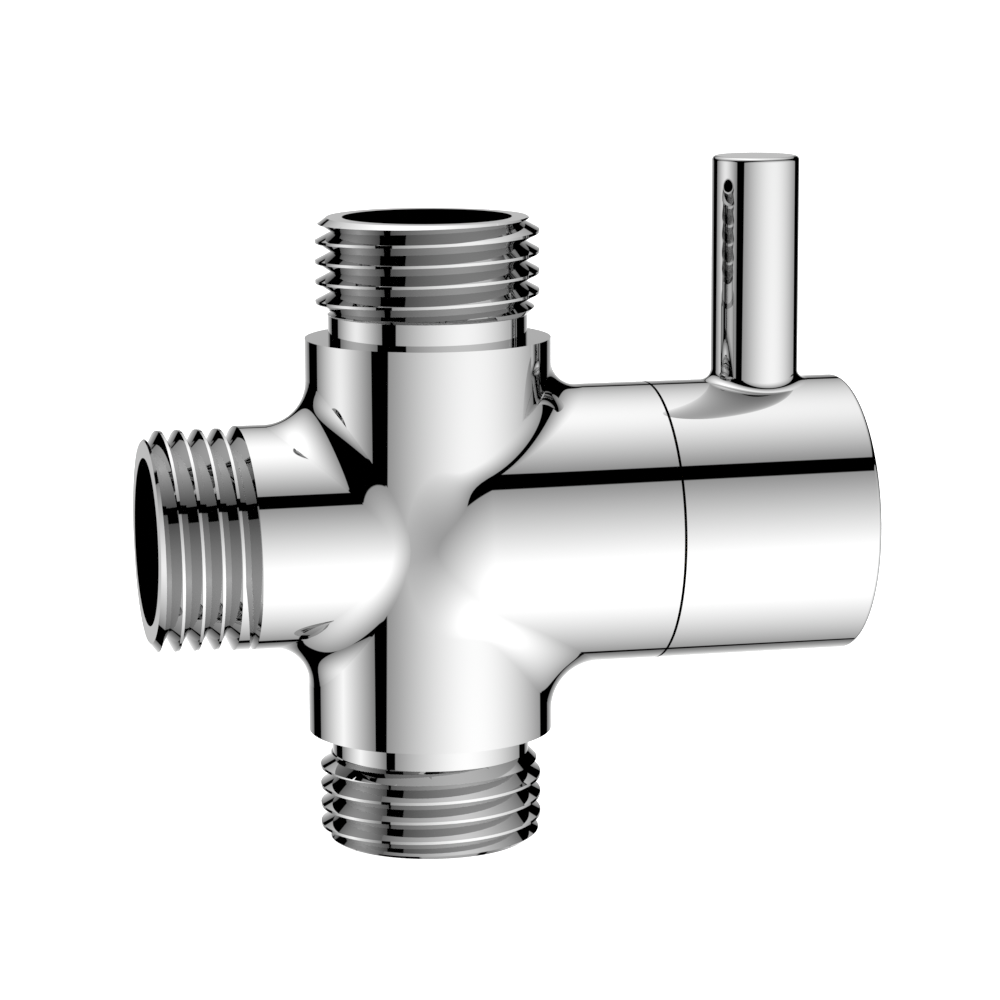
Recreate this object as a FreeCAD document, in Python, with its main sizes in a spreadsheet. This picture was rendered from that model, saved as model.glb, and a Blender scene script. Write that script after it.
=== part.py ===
import FreeCAD, Part

import math
import os

import Sketcher

# Three-way shower diverter valve, in millimetres.
# The horizontal axis carries the inlet branch on the left (-X) and the cartridge housing with its
# lever knob on the right (+X). The vertical axis carries the two outlet ports. Each piece is drawn
# about the crossing of the two axes and lifted by port_reach, so that the lower port's end is at Z = 0.

doc = FreeCAD.newDocument("diverter_valve")

# Driving sizes: word, size, what it is
SIZES = [
    ("port_reach", 29.5, "crossing to the end face of each outlet port"),
    ("inlet_reach", 26.77, "crossing to the end face of the inlet"),
    ("housing_reach", 21.2, "crossing to the mouth of the cartridge housing"),
    ("barrel_radius", 11.5, "plain barrel between the outlet ports"),
    ("upper_land", 1.84, "barrel's plain length between the housing's fillet and the upper ledge"),
    ("lower_land", 2.57, "barrel's plain length between the housing's fillet and the lower ledge"),
    ("thread_radius", 10.45, "outside of the outlets' G1/2 threads and of the plain inlet branch"),
    ("inlet_thread_radius", 10.28, "outside of the inlet's G1/2 thread"),
    ("inlet_thread_length", 9.47, "length of the inlet's thread with its chamfer"),
    ("neck_radius", 9.3, "thread relief between ledge and thread"),
    ("neck_length", 2.2, "length of the thread relief"),
    ("rim_chamfer", 1.05, "radial size of the chamfer at each thread's end"),
    ("rim_chamfer_length", 0.8, "axial size of that chamfer"),
    ("housing_radius", 13.2, "outside of the cartridge housing and of the knob"),
    ("pocket_wall", 2.3, "wall of the housing round the cartridge pocket"),
    ("reference_pocket", 10.9, "pocket radius of the cartridge size that the cartridge's table gives"),
    ("shoulder_meet", 3.07, "crossing to where the shoulder's sphere would meet the barrel's front"),
    ("inlet_fillet", 4.0, "fillet between the barrel and the inlet branch"),
    ("housing_fillet", 3.2, "fillet between the barrel and the cartridge housing"),
    ("port_bore", 7.9, "radius of the outlet waterways at their mouths"),
    ("port_bore_end", 16.0, "crossing to the end of the wide part of an outlet"),
    ("inlet_bore", 7.8, "radius of the inlet waterway at its mouth"),
    ("inlet_bore_depth", 13.8, "depth of the wide part of the inlet"),
    ("gallery_end", 3.8, "crossing to the blind end of an outlet waterway"),
    ("inlet_gallery_wall", 2.4, "wall between the inlet's wide hole and the outlet waterways"),
    ("seat_distance", 7.0, "crossing to the seat that the cartridge stands on"),
    ("locating_length", 1.3, "height of a locating pin above the foot"),
    ("slide_gap", 0.05, "radial gap of a sliding fit"),
    ("loose_gap", 0.3, "radial gap between pieces that only pass each other"),
    ("seal_gap", 0.2, "height of the seals above the foot"),
    ("seal_height", 1.4, "height of the three foot seals"),
    ("seal_rounding", 0.25, "rounding of a foot seal's edges"),
    ("base_height", 2.6, "thickness of the cartridge's foot"),
    ("gasket_height", 0.5, "thickness of the gasket under the fixed disc"),
    ("disc_height", 2.4, "thickness of each ceramic disc"),
    ("slot_angle", 76.0, "angle of each curved slot"),
    ("fan_angle", 136.0, "angle of the moving disc's pocket"),
    ("fan_depth", 0.9, "depth of the moving disc's pocket"),
    ("tongue_height", 0.7, "height of the carrier's tongue"),
    ("carrier_height", 2.4, "thickness of the disc carrier without its tongue"),
    ("square_depth", 1.5, "length of the stem's square end"),
    ("flange_height", 1.2, "thickness of the stem's flange"),
    ("washer_height", 0.5, "thickness of the thrust washer"),
    ("stem_reach", 36.0, "crossing to the stem's outer end"),
    ("groove_width", 1.6, "width of the stem's ring grooves"),
    ("groove_land", 0.8, "wall beside and between the stem's ring grooves"),
    ("tooth_count", 20, "teeth round the stem's outer end"),
    ("tooth_gap", 0.1, "gap at the foot of the teeth that the hub and the stop washer fill"),
    ("tooth_share", 0.8, "share of the tooth pitch that a notch takes at the stem's surface"),
    ("shell_shoulder", 17.4, "crossing to the shoulder that the nut presses on"),
    ("shell_roof", 2.2, "thickness of the shell's roof"),
    ("neck_reach", 25.0, "crossing to the end of the shell's neck"),
    ("ring_groove_width", 1.4, "width of the groove for the body ring"),
    ("ring_groove_land", 0.4, "wall between that groove and the shoulder"),
    ("stop_height", 2.1, "height of the end stop on the neck"),
    ("turn_angle", 180.0, "how far the knob turns"),
    ("tab_angle", 30.0, "angle of the stop washer's tab"),
    ("stop_play", 2.0, "free angle before the tab meets the end stop"),
    ("clip_height", 0.8, "thickness of the stem clip"),
    ("clip_angle", 290.0, "angle of the open clip"),
    ("stop_washer_height", 1.2, "thickness of the stop washer"),
    ("nut_wall_gap", 0.2, "radial gap between the shell and the nut"),
    ("nut_head", 3.0, "height of the nut's hexagon"),
    ("parting_gap", 0.25, "gap between the housing and the knob"),
    ("knob_reach", 40.44, "crossing to the knob's end face"),
    ("knob_wall", 2.2, "wall of the knob's skirt"),
    ("knob_end_wall", 2.44, "thickness of the knob's end"),
    ("knob_edge", 0.45, "rounding of the knob's outer edge"),
    ("hub_gap", 0.3, "gap between the stop washer and the hub"),
    ("hub_end_gap", 0.6, "gap between the stem's end and the hub's blind end"),
    ("rib_thickness", 2.0, "thickness of the knob's ribs"),
    ("rib_height", 9.0, "length of the ribs along the axis"),
    ("pin_distance", 31.9, "crossing to the axis of the lever pin"),
    ("pin_radius", 4.14, "radius of the lever pin"),
    ("pin_reach", 34.5, "crossing to the top of the lever pin"),
    ("pin_root", 1.6, "depth of the lever pin's foot in the knob's wall"),
    ("pin_edge", 0.42, "rounding of the pin's top edge"),
    ("pin_fillet", 1.0, "fillet at the pin's foot"),
    ("boss_radius", 4.2, "radius of the boss for the grub screw"),
    ("screw_radius", 2.5, "radius of the grub screw"),
    ("screw_length", 5.0, "length of the grub screw"),
    ("screw_point", 1.0, "length of the grub screw's point"),
    ("socket_flats", 2.5, "across the flats of the grub screw's socket"),
    ("socket_depth", 2.0, "depth of the grub screw's socket"),
]

# Radial sizes of the cartridge, of its pocket and of what turns on it, as a cartridge of the reference
# pocket has them: word, size, what it is. They follow the real pocket when the housing changes.
CARTRIDGE_SIZES = [
    ("pocket_radius", 10.9, "radius of the cartridge pocket"),
    ("gallery_radius", 5.5, "radius of the waterways inside the barrel"),
    ("centre_hole", 2.2, "radius of the inlet hole through the seat"),
    ("outlet_hole", 1.9, "radius of each outlet hole through the seat"),
    ("outlet_offset", 6.8, "inlet hole to outlet hole"),
    ("locating_offset", 8.2, "cartridge axis to each locating pin"),
    ("locating_radius", 0.9, "radius of a locating pin"),
    ("seal_section", 1.1, "radial thickness of a foot seal"),
    ("disc_radius", 9.0, "radius of the fixed disc"),
    ("disc_step", 0.4, "the moving disc's radius is this much smaller"),
    ("slot_inner", 4.6, "inner radius of the curved slots"),
    ("slot_outer", 7.6, "outer radius of the curved slots"),
    ("key_width", 2.0, "width of the ribs that hold the fixed disc"),
    ("key_height", 0.7, "height of those ribs"),
    ("tongue_width", 3.0, "width of the carrier's tongue"),
    ("carrier_radius", 6.7, "radius of the disc carrier"),
    ("square_width", 6.4, "across the flats of the stem's square end"),
    ("flange_radius", 6.4, "radius of the stem's flange"),
    ("stem_radius", 4.0, "radius of the stem's shaft and of its teeth"),
    ("groove_depth", 1.1, "depth of the stem's ring grooves"),
    ("tooth_depth", 0.45, "depth of the stem's teeth"),
    ("nut_thread_radius", 11.55, "outside of the retaining nut's thread"),
    ("shell_bell_radius", 10.75, "outside of the shell where it fills the pocket"),
    ("shell_bell_wall", 1.65, "wall of the shell round the discs"),
    ("shell_top_radius", 8.2, "outside of the shell where it passes the nut"),
    ("shell_neck_radius", 6.2, "outside of the shell's neck"),
    ("ring_section", 1.3, "thickness of the body ring"),
    ("stop_wall", 0.95, "radial thickness of the end stop"),
    ("clip_groove_depth", 0.6, "depth of the clip's groove"),
    ("clip_wall", 1.5, "radial thickness of the clip"),
    ("nut_flats", 18.4, "across the flats of the nut"),
    ("hub_radius", 6.8, "radius of the knob's hub"),
]
sheet = doc.addObject("Spreadsheet::Sheet", "Sizes")
for row, (word, size, meaning) in enumerate(SIZES, start=1):
    sheet.set(f"A{row}", meaning)
    sheet.set(f"B{row}", str(size))
    sheet.setAlias(f"B{row}", word)
doc.recompute()
for row, (word, size, meaning) in enumerate(CARTRIDGE_SIZES, start=len(SIZES) + 1):
    sheet.set(f"A{row}", meaning)
    sheet.set(f"B{row}", f"={size} * (housing_radius - pocket_wall) / reference_pocket")
    sheet.setAlias(f"B{row}", word)

# Places that follow from the driving sizes: word, formula, what it is
PLACES = [
    ("shoulder_centre", "sqrt(Sizes.shoulder_meet ^ 2 + Sizes.housing_radius ^ 2 - Sizes.barrel_radius ^ 2)"
     " - Sizes.shoulder_meet", "crossing to the centre of the housing's round shoulder"),
    ("rim_radius", "Sizes.thread_radius - Sizes.rim_chamfer", "outer radius of a port's flat end face"),
    ("fillet_reach", "Sizes.housing_radius + Sizes.housing_fillet", "crossing to the housing fillet's end"),
    ("upper_ledge", "fillet_reach + Sizes.upper_land", "crossing to the barrel's upper ledge"),
    ("lower_ledge", "fillet_reach + Sizes.lower_land", "crossing to the barrel's lower ledge"),
    ("upper_thread_start", "upper_ledge + Sizes.neck_length", "crossing to the upper thread's start"),
    ("lower_thread_start", "lower_ledge + Sizes.neck_length", "crossing to the lower thread's start"),
    ("thread_end", "Sizes.port_reach - Sizes.rim_chamfer_length", "crossing to the chamfer of a port"),
    ("inlet_wide_end", "Sizes.inlet_reach - Sizes.inlet_bore_depth", "crossing to the wide bore's end"),
    ("inlet_hole_end", "Sizes.gallery_radius + Sizes.inlet_gallery_wall", "crossing to the hole's end"),
    ("nut_bore", "Sizes.nut_thread_radius + Sizes.slide_gap", "radius of the thread in the housing's mouth"),
    ("base_foot", "Sizes.seat_distance + Sizes.seal_gap", "crossing to the foot's underside"),
    ("base_face", "base_foot + Sizes.base_height", "crossing to the foot's disc side"),
    ("disc_foot", "base_face + Sizes.gasket_height", "crossing to the fixed disc"),
    ("disc_face", "disc_foot + Sizes.disc_height", "crossing to the plane where the discs meet"),
    ("moving_face", "disc_face + Sizes.disc_height", "crossing to the moving disc's back"),
    ("carrier_face", "moving_face + Sizes.carrier_height", "crossing to the carrier's back"),
    ("flange_face", "carrier_face + Sizes.flange_height", "crossing to the flange's outer face"),
    ("roof_face", "flange_face + Sizes.washer_height", "crossing to the inside of the shell's roof"),
    ("moving_radius", "Sizes.disc_radius - Sizes.disc_step", "radius of the moving disc"),
    ("bell_bore", "Sizes.shell_bell_radius - Sizes.shell_bell_wall", "inside of the shell round the discs"),
    ("bell_end", "moving_face + Sizes.loose_gap", "crossing to the end of the wide part of the shell"),
    ("carrier_bore", "Sizes.carrier_radius + Sizes.loose_gap", "inside of the shell round the carrier"),
    ("stem_bore", "Sizes.stem_radius + Sizes.slide_gap", "radius of the hole that the stem turns in"),
    ("neck_foot", "roof_face + Sizes.shell_roof", "crossing to the foot of the shell's neck"),
    ("ring_end", "Sizes.shell_shoulder - Sizes.ring_groove_land", "crossing to the body ring groove's end"),
    ("ring_start", "ring_end - Sizes.ring_groove_width", "crossing to the body ring groove's start"),
    ("groove_one", "roof_face + Sizes.groove_land", "crossing to the inner ring groove"),
    ("groove_two", "groove_one + Sizes.groove_width + Sizes.groove_land", "crossing to the outer groove"),
    ("clip_end", "Sizes.neck_reach + Sizes.clip_height", "crossing to the outer face of the clip"),
    ("stop_end", "clip_end + Sizes.stop_washer_height", "crossing to the outer face of the stop washer"),
    ("stop_bore", "Sizes.shell_neck_radius - Sizes.stop_wall", "inside of the end stop"),
    ("tooth_root", "Sizes.stem_radius - Sizes.tooth_depth", "radius at the foot of the stem's teeth"),
    ("hub_start", "stop_end + Sizes.hub_gap", "crossing to the hub's inner end"),
    ("hub_blind", "Sizes.stem_reach + Sizes.hub_end_gap", "crossing to the blind end of the hub"),
    ("skirt_start", "Sizes.housing_reach + Sizes.parting_gap", "crossing to the edge of the knob's skirt"),
    ("cavity_radius", "Sizes.housing_radius - Sizes.knob_wall", "inside of the knob"),
    ("cavity_end", "Sizes.knob_reach - Sizes.knob_end_wall", "crossing to the inside of the knob's end"),
    ("nut_bore_inside", "Sizes.shell_top_radius + Sizes.nut_wall_gap", "inside of the retaining nut"),
    ("screw_tip", "Sizes.stem_radius + Sizes.slide_gap", "axis to the grub screw's point"),
    ("screw_head", "screw_tip + Sizes.screw_length", "axis to the grub screw's socket end"),
]
places = doc.addObject("Spreadsheet::Sheet", "Places")
for row, (word, formula, meaning) in enumerate(PLACES, start=1):
    places.set(f"A{row}", meaning)
    places.set(f"B{row}", "=" + formula)
    places.setAlias(f"B{row}", word)
doc.recompute()


def value(formula):
    """The number that a formula over the two sheets gives now."""
    result = sheet.evalExpression(formula)
    return float(getattr(result, "Value", result))


def new_body(name):
    """A piece drawn about the crossing of the axes and lifted to its height above the lower port."""
    body = doc.addObject("PartDesign::Body", name)
    body.Label = name
    body.setExpression(".Placement.Base.z", "Sizes.port_reach")
    return body


def new_sketch(body, name, role, along="0"):
    """An empty sketch on one of the body's own planes, moved along the plane's normal."""
    plane = [item for item in body.Origin.OriginFeatures if item.Role == role][0]
    sketch = body.newObject("Sketcher::SketchObject", name)
    sketch.AttachmentSupport = (plane, [""])
    sketch.MapMode = "FlatFace"
    sketch.setExpression(".AttachmentOffset.Base.z", along)
    return sketch


def bind(sketch, kind, place, formula):
    """One driving dimension of a sketch, bound to its formula."""
    index = sketch.addConstraint(Sketcher.Constraint(kind, *place, value(formula)))
    sketch.setExpression(f"Constraints[{index}]", formula)


def draw_outline(sketch, corners):
    """A closed outline of straight runs; each corner is a pair of formulas."""
    points = [FreeCAD.Vector(value(x), value(y), 0) for x, y in corners]
    first = sketch.GeometryCount
    count = len(points)
    for index, point in enumerate(points):
        sketch.addGeometry(Part.LineSegment(point, points[(index + 1) % count]), False)
    for index, (x, y) in enumerate(corners):
        here = first + index
        following = first + (index + 1) % count
        sketch.addConstraint(Sketcher.Constraint("Coincident", here, 2, following, 1))
        bind(sketch, "DistanceX", (-1, 1, here, 1), x)
        bind(sketch, "DistanceY", (-1, 1, here, 1), y)


def draw_circle(sketch, x, y, radius):
    """A circle; its centre and radius are formulas."""
    centre = FreeCAD.Vector(value(x), value(y), 0)
    index = sketch.addGeometry(Part.Circle(centre, FreeCAD.Vector(0, 0, 1), value(radius)), False)
    bind(sketch, "DistanceX", (-1, 1, index, 3), x)
    bind(sketch, "DistanceY", (-1, 1, index, 3), y)
    bind(sketch, "Radius", (index,), radius)


def hexagon(flats):
    """The corners of a hexagon with the given width across its flats."""
    return [(f"{flats} / sqrt(3) * cos({60 * corner})", f"{flats} / sqrt(3) * sin({60 * corner})")
            for corner in range(6)]


def require_change(body, feature, sign):
    """Stop if a feature that adds (1) or cuts (-1) left the piece's volume as it was."""
    doc.recompute()
    before = feature.BaseFeature.Shape.Volume if feature.BaseFeature else 0.0
    if sign * (feature.Shape.Volume - before) <= 0:
        raise RuntimeError(f"{feature.Name} in {body.Label} changed nothing")


def turn(body, name, corners, cut=False, axis="H_Axis", span="360", centred=False):
    """Turn an outline in the XZ plane about the horizontal (H) or vertical (V) axis."""
    sketch = new_sketch(body, name + "_outline", "XZ_Plane")
    draw_outline(sketch, corners)
    feature = body.newObject("PartDesign::Groove" if cut else "PartDesign::Revolution", name)
    feature.Profile = sketch
    feature.ReferenceAxis = (sketch, [axis])
    feature.setExpression("Angle", span)
    feature.Midplane = centred
    require_change(body, feature, -1 if cut else 1)
    return feature


def raise_or_cut(body, name, sketch, length, cut=False, backwards=False):
    """Pad or pocket a sketch; both run along the sketch's normal unless backwards is set."""
    feature = body.newObject("PartDesign::Pocket" if cut else "PartDesign::Pad", name)
    feature.Profile = sketch
    feature.setExpression("Length", length)
    feature.Reversed = backwards != cut
    require_change(body, feature, -1 if cut else 1)
    return feature


def repeat_round(body, name, feature, count, span="360"):
    """Repeat a feature round the horizontal axis."""
    axis = [item for item in body.Origin.OriginFeatures if item.Role == "X_Axis"][0]
    pattern = body.newObject("PartDesign::PolarPattern", name)
    pattern.Originals = [feature]
    pattern.Axis = (axis, [""])
    pattern.setExpression("Angle", span)
    pattern.setExpression("Occurrences", count)
    body.Tip = pattern
    doc.recompute()
    return pattern


def round_edges(body, name, base, edges, radius):
    """Round the chosen edges of a feature."""
    fillet = body.newObject("PartDesign::Fillet", name)
    fillet.Base = (base, edges)
    fillet.setExpression("Radius", radius)
    doc.recompute()
    return fillet


# two sizes that differ by less than this are the same, in millimetres or radians
CLOSE = 0.001


def edges_where(shape, test):
    """The names of the edges of a shape that pass a test."""
    return [f"Edge{index}" for index, edge in enumerate(shape.Edges, start=1) if test(edge)]


def faces_beside(shape, edge):
    """The faces that meet at an edge."""
    return [face for face in shape.Faces if any(edge.isSame(other) for other in face.Edges)]


def is_turned_on(face, radius, axis):
    """Whether a face is a cylinder of this radius about this axis."""
    surface = face.Surface
    if not isinstance(surface, Part.Cylinder):
        return False
    along = surface.Axis.isParallel(axis, CLOSE)
    return along and abs(surface.Radius - radius) < CLOSE


X_AXIS = FreeCAD.Vector(1, 0, 0)
Z_AXIS = FreeCAD.Vector(0, 0, 1)

# Valve body: barrel with its two outlet ports, turned about the vertical axis
valve_body = new_body("valve_body")
barrel = turn(valve_body, "Barrel", [
    ("0", "-Sizes.port_reach"),
    ("Places.rim_radius", "-Sizes.port_reach"),
    ("Sizes.thread_radius", "-Places.thread_end"),
    ("Sizes.thread_radius", "-Places.lower_thread_start"),
    ("Sizes.neck_radius", "-Places.lower_thread_start"),
    ("Sizes.neck_radius", "-Places.lower_ledge"),
    ("Sizes.barrel_radius", "-Places.lower_ledge"),
    ("Sizes.barrel_radius", "Places.upper_ledge"),
    ("Sizes.neck_radius", "Places.upper_ledge"),
    ("Sizes.neck_radius", "Places.upper_thread_start"),
    ("Sizes.thread_radius", "Places.upper_thread_start"),
    ("Sizes.thread_radius", "Places.thread_end"),
    ("Places.rim_radius", "Sizes.port_reach"),
    ("0", "Sizes.port_reach"),
], axis="V_Axis")
turn(valve_body, "InletBranch", [
    ("-Sizes.inlet_reach", "0"),
    ("-Sizes.inlet_reach", "Places.rim_radius"),
    ("-Sizes.inlet_reach + Sizes.rim_chamfer_length", "Sizes.inlet_thread_radius"),
    ("-Sizes.inlet_reach + Sizes.inlet_thread_length", "Sizes.inlet_thread_radius"),
    ("-Sizes.inlet_reach + Sizes.inlet_thread_length", "Sizes.thread_radius"),
    ("0", "Sizes.thread_radius"),
    ("0", "0"),
])
turn(valve_body, "Housing", [
    ("Places.shoulder_centre", "0"),
    ("Places.shoulder_centre", "Sizes.housing_radius"),
    ("Sizes.housing_reach", "Sizes.housing_radius"),
    ("Sizes.housing_reach", "0"),
])
shoulder = valve_body.newObject("PartDesign::AdditiveSphere", "Shoulder")
shoulder.AttachmentSupport = ([item for item in valve_body.Origin.OriginFeatures
                               if item.Role == "YZ_Plane"][0], [""])
shoulder.MapMode = "FlatFace"
shoulder.setExpression(".AttachmentOffset.Base.z", "Places.shoulder_centre")
shoulder.setExpression("Radius", "Sizes.housing_radius")
shoulder.Angle2 = 0
doc.recompute()

# The barrel runs into the branch and the housing with a fillet all round each of them


def find_junction(feature, is_branch_face):
    """The edges between the barrel's wall and the faces of one branch."""
    def is_junction(edge):
        faces = faces_beside(feature.Shape, edge)
        on_barrel = any(is_turned_on(face, value("Sizes.barrel_radius"), Z_AXIS) for face in faces)
        return on_barrel and any(is_branch_face(face) for face in faces)
    return edges_where(feature.Shape, is_junction)


def is_inlet_face(face):
    """Whether a face is the plain wall of the inlet branch."""
    return is_turned_on(face, value("Sizes.thread_radius"), X_AXIS)


def is_housing_face(face):
    """Whether a face is the housing's wall or its round shoulder."""
    on_wall = is_turned_on(face, value("Sizes.housing_radius"), X_AXIS)
    return on_wall or isinstance(face.Surface, Part.Sphere)


inlet_fillet = round_edges(valve_body, "InletFillet", shoulder, find_junction(shoulder, is_inlet_face),
                           "Sizes.inlet_fillet")
round_edges(valve_body, "HousingFillet", inlet_fillet, find_junction(inlet_fillet, is_housing_face),
            "Sizes.housing_fillet")

# Waterways: two blind outlets, the inlet with its hole to the seat, and the cartridge pocket
for side, name in (("", "UpperWaterway"), ("-", "LowerWaterway")):
    turn(valve_body, name, [
        ("0", f"{side}Sizes.gallery_end"),
        ("Sizes.gallery_radius", f"{side}Sizes.gallery_end"),
        ("Sizes.gallery_radius", f"{side}Sizes.port_bore_end"),
        ("Sizes.port_bore", f"{side}Sizes.port_bore_end"),
        ("Sizes.port_bore", f"{side}Sizes.port_reach"),
        ("0", f"{side}Sizes.port_reach"),
    ], cut=True, axis="V_Axis")
turn(valve_body, "InletWaterway", [
    ("-Sizes.inlet_reach", "0"),
    ("-Sizes.inlet_reach", "Sizes.inlet_bore"),
    ("-Places.inlet_wide_end", "Sizes.inlet_bore"),
    ("-Places.inlet_wide_end", "Sizes.gallery_radius"),
    ("-Places.inlet_hole_end", "Sizes.gallery_radius"),
    ("-Places.inlet_hole_end", "Sizes.centre_hole"),
    ("Sizes.seat_distance", "Sizes.centre_hole"),
    ("Sizes.seat_distance", "0"),
], cut=True)
turn(valve_body, "CartridgePocket", [
    ("Sizes.seat_distance", "0"),
    ("Sizes.seat_distance", "Sizes.pocket_radius"),
    ("Sizes.shell_shoulder", "Sizes.pocket_radius"),
    ("Sizes.shell_shoulder", "Places.nut_bore"),
    ("Sizes.housing_reach", "Places.nut_bore"),
    ("Sizes.housing_reach", "0"),
], cut=True)
seat_holes = new_sketch(valve_body, "SeatHoles_outline", "YZ_Plane", "Sizes.seat_distance")
draw_circle(seat_holes, "0", "Sizes.outlet_offset", "Sizes.outlet_hole")
draw_circle(seat_holes, "0", "-Sizes.outlet_offset", "Sizes.outlet_hole")
raise_or_cut(valve_body, "SeatHoles", seat_holes, "Sizes.seat_distance", cut=True, backwards=True)
locating_holes = new_sketch(valve_body, "LocatingHoles_outline", "YZ_Plane", "Sizes.seat_distance")
draw_circle(locating_holes, "Sizes.locating_offset", "0", "Sizes.locating_radius + Sizes.slide_gap")
draw_circle(locating_holes, "-Sizes.locating_offset", "0", "Sizes.locating_radius + Sizes.slide_gap")
raise_or_cut(valve_body, "LocatingHoles", locating_holes, "Sizes.locating_length", cut=True,
             backwards=True)

# Foot seals: one round the inlet hole and one round each outlet hole, standing on the seat


def add_foot_seal(name, hole, offset):
    """A rubber ring with rounded edges between the seat and its counterbore in the foot."""
    seal = new_body(name)
    seal.setExpression(".Placement.Base.z", f"Sizes.port_reach + {offset}")
    ring = turn(seal, name + "_ring", [
        ("Sizes.seat_distance", hole),
        ("Sizes.seat_distance", f"{hole} + Sizes.seal_section"),
        ("Sizes.seat_distance + Sizes.seal_height", f"{hole} + Sizes.seal_section"),
        ("Sizes.seat_distance + Sizes.seal_height", hole),
    ])
    circles = edges_where(ring.Shape, lambda edge: isinstance(edge.Curve, Part.Circle))
    round_edges(seal, name + "_rounding", ring, circles, "Sizes.seal_rounding")
    return seal


inlet_seal = add_foot_seal("inlet_seal", "Sizes.centre_hole", "0")
upper_outlet_seal = add_foot_seal("upper_outlet_seal", "Sizes.outlet_hole", "Sizes.outlet_offset")
lower_outlet_seal = add_foot_seal("lower_outlet_seal", "Sizes.outlet_hole", "-Sizes.outlet_offset")

# Cartridge foot: a disc with three waterways, a counterbore round each, and two locating pins
cartridge_base = new_body("cartridge_base")
turn(cartridge_base, "FootDisc", [
    ("Places.base_foot", "Sizes.centre_hole"),
    ("Places.base_foot", "Sizes.shell_bell_radius"),
    ("Places.base_face", "Sizes.shell_bell_radius"),
    ("Places.base_face", "Sizes.centre_hole"),
])
foot_pins = new_sketch(cartridge_base, "FootPins_outline", "YZ_Plane", "Places.base_foot")
draw_circle(foot_pins, "Sizes.locating_offset", "0", "Sizes.locating_radius")
draw_circle(foot_pins, "-Sizes.locating_offset", "0", "Sizes.locating_radius")
raise_or_cut(cartridge_base, "FootPins", foot_pins, "Sizes.locating_length", backwards=True)
foot_holes = new_sketch(cartridge_base, "FootHoles_outline", "YZ_Plane", "Places.base_foot")
draw_circle(foot_holes, "0", "Sizes.outlet_offset", "Sizes.outlet_hole")
draw_circle(foot_holes, "0", "-Sizes.outlet_offset", "Sizes.outlet_hole")
raise_or_cut(cartridge_base, "FootHoles", foot_holes, "Sizes.base_height", cut=True)
counterbores = new_sketch(cartridge_base, "Counterbores_outline", "YZ_Plane", "Places.base_foot")
for offset, hole in (("0", "centre_hole"), ("Sizes.outlet_offset", "outlet_hole"),
                     ("-Sizes.outlet_offset", "outlet_hole")):
    draw_circle(counterbores, "0", offset, f"Sizes.{hole} + Sizes.seal_section")
raise_or_cut(cartridge_base, "Counterbores", counterbores, "Sizes.seal_height - Sizes.seal_gap",
             cut=True)


def cut_slots(body, name, near, far, first_span):
    """Two curved slots through a disc, above and below its centre hole."""
    for side, word in (("", "Upper"), ("-", "Lower")):
        turn(body, name + word, [
            (near, f"{side}Sizes.slot_inner"),
            (near, f"{side}Sizes.slot_outer"),
            (far, f"{side}Sizes.slot_outer"),
            (far, f"{side}Sizes.slot_inner"),
        ], cut=True, span=first_span, centred=True)


def cut_keyways(body, name, near):
    """Two notches in a disc's rim for the shell's ribs."""
    notches = new_sketch(body, name + "_outline", "YZ_Plane", near)
    depth = "(Places.bell_bore - Sizes.key_height - Sizes.slide_gap)"
    half = "(Sizes.key_width / 2 + Sizes.slide_gap)"
    outside = "(Sizes.disc_radius + Sizes.key_height)"
    for side in ("", "-"):
        draw_outline(notches, [
            (f"{side}{depth}", f"-{half}"),
            (f"{side}{outside}", f"-{half}"),
            (f"{side}{outside}", half),
            (f"{side}{depth}", half),
        ])
    return notches


# Gasket under the fixed disc, with the same holes and keyways as the disc
disc_seal = new_body("disc_seal")
turn(disc_seal, "GasketDisc", [
    ("Places.base_face", "Sizes.centre_hole"),
    ("Places.base_face", "Sizes.disc_radius"),
    ("Places.disc_foot", "Sizes.disc_radius"),
    ("Places.disc_foot", "Sizes.centre_hole"),
])
cut_slots(disc_seal, "GasketSlot", "Places.base_face", "Places.disc_foot", "Sizes.slot_angle")
raise_or_cut(disc_seal, "GasketKeyways", cut_keyways(disc_seal, "GasketKeyways", "Places.base_face"),
             "Sizes.gasket_height", cut=True)

# Fixed ceramic disc: centre hole for the inlet, one curved slot for each outlet
fixed_disc = new_body("fixed_disc")
turn(fixed_disc, "FixedDisc", [
    ("Places.disc_foot", "Sizes.centre_hole"),
    ("Places.disc_foot", "Sizes.disc_radius"),
    ("Places.disc_face", "Sizes.disc_radius"),
    ("Places.disc_face", "Sizes.centre_hole"),
])
cut_slots(fixed_disc, "FixedSlot", "Places.disc_foot", "Places.disc_face", "Sizes.slot_angle")
raise_or_cut(fixed_disc, "FixedKeyways", cut_keyways(fixed_disc, "FixedKeyways", "Places.disc_foot"),
             "Sizes.disc_height", cut=True)

# Moving ceramic disc: a fan-shaped pocket joins the centre hole to one slot or to both
moving_disc = new_body("moving_disc")
turn(moving_disc, "MovingDisc", [
    ("Places.disc_face", "0"),
    ("Places.disc_face", "Places.moving_radius"),
    ("Places.moving_face", "Places.moving_radius"),
    ("Places.moving_face", "0"),
])
turn(moving_disc, "FanPocket", [
    ("Places.disc_face", "0"),
    ("Places.disc_face", "Sizes.slot_outer"),
    ("Places.disc_face + Sizes.fan_depth", "Sizes.slot_outer"),
    ("Places.disc_face + Sizes.fan_depth", "0"),
], cut=True, span="Sizes.fan_angle", centred=True)
turn(moving_disc, "CentrePocket", [
    ("Places.disc_face", "0"),
    ("Places.disc_face", "Sizes.centre_hole"),
    ("Places.disc_face + Sizes.fan_depth", "Sizes.centre_hole"),
    ("Places.disc_face + Sizes.fan_depth", "0"),
], cut=True)
tongue_slot = new_sketch(moving_disc, "TongueSlot_outline", "YZ_Plane", "Places.moving_face")
slot_half = "(Sizes.tongue_width / 2 + Sizes.slide_gap)"
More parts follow.
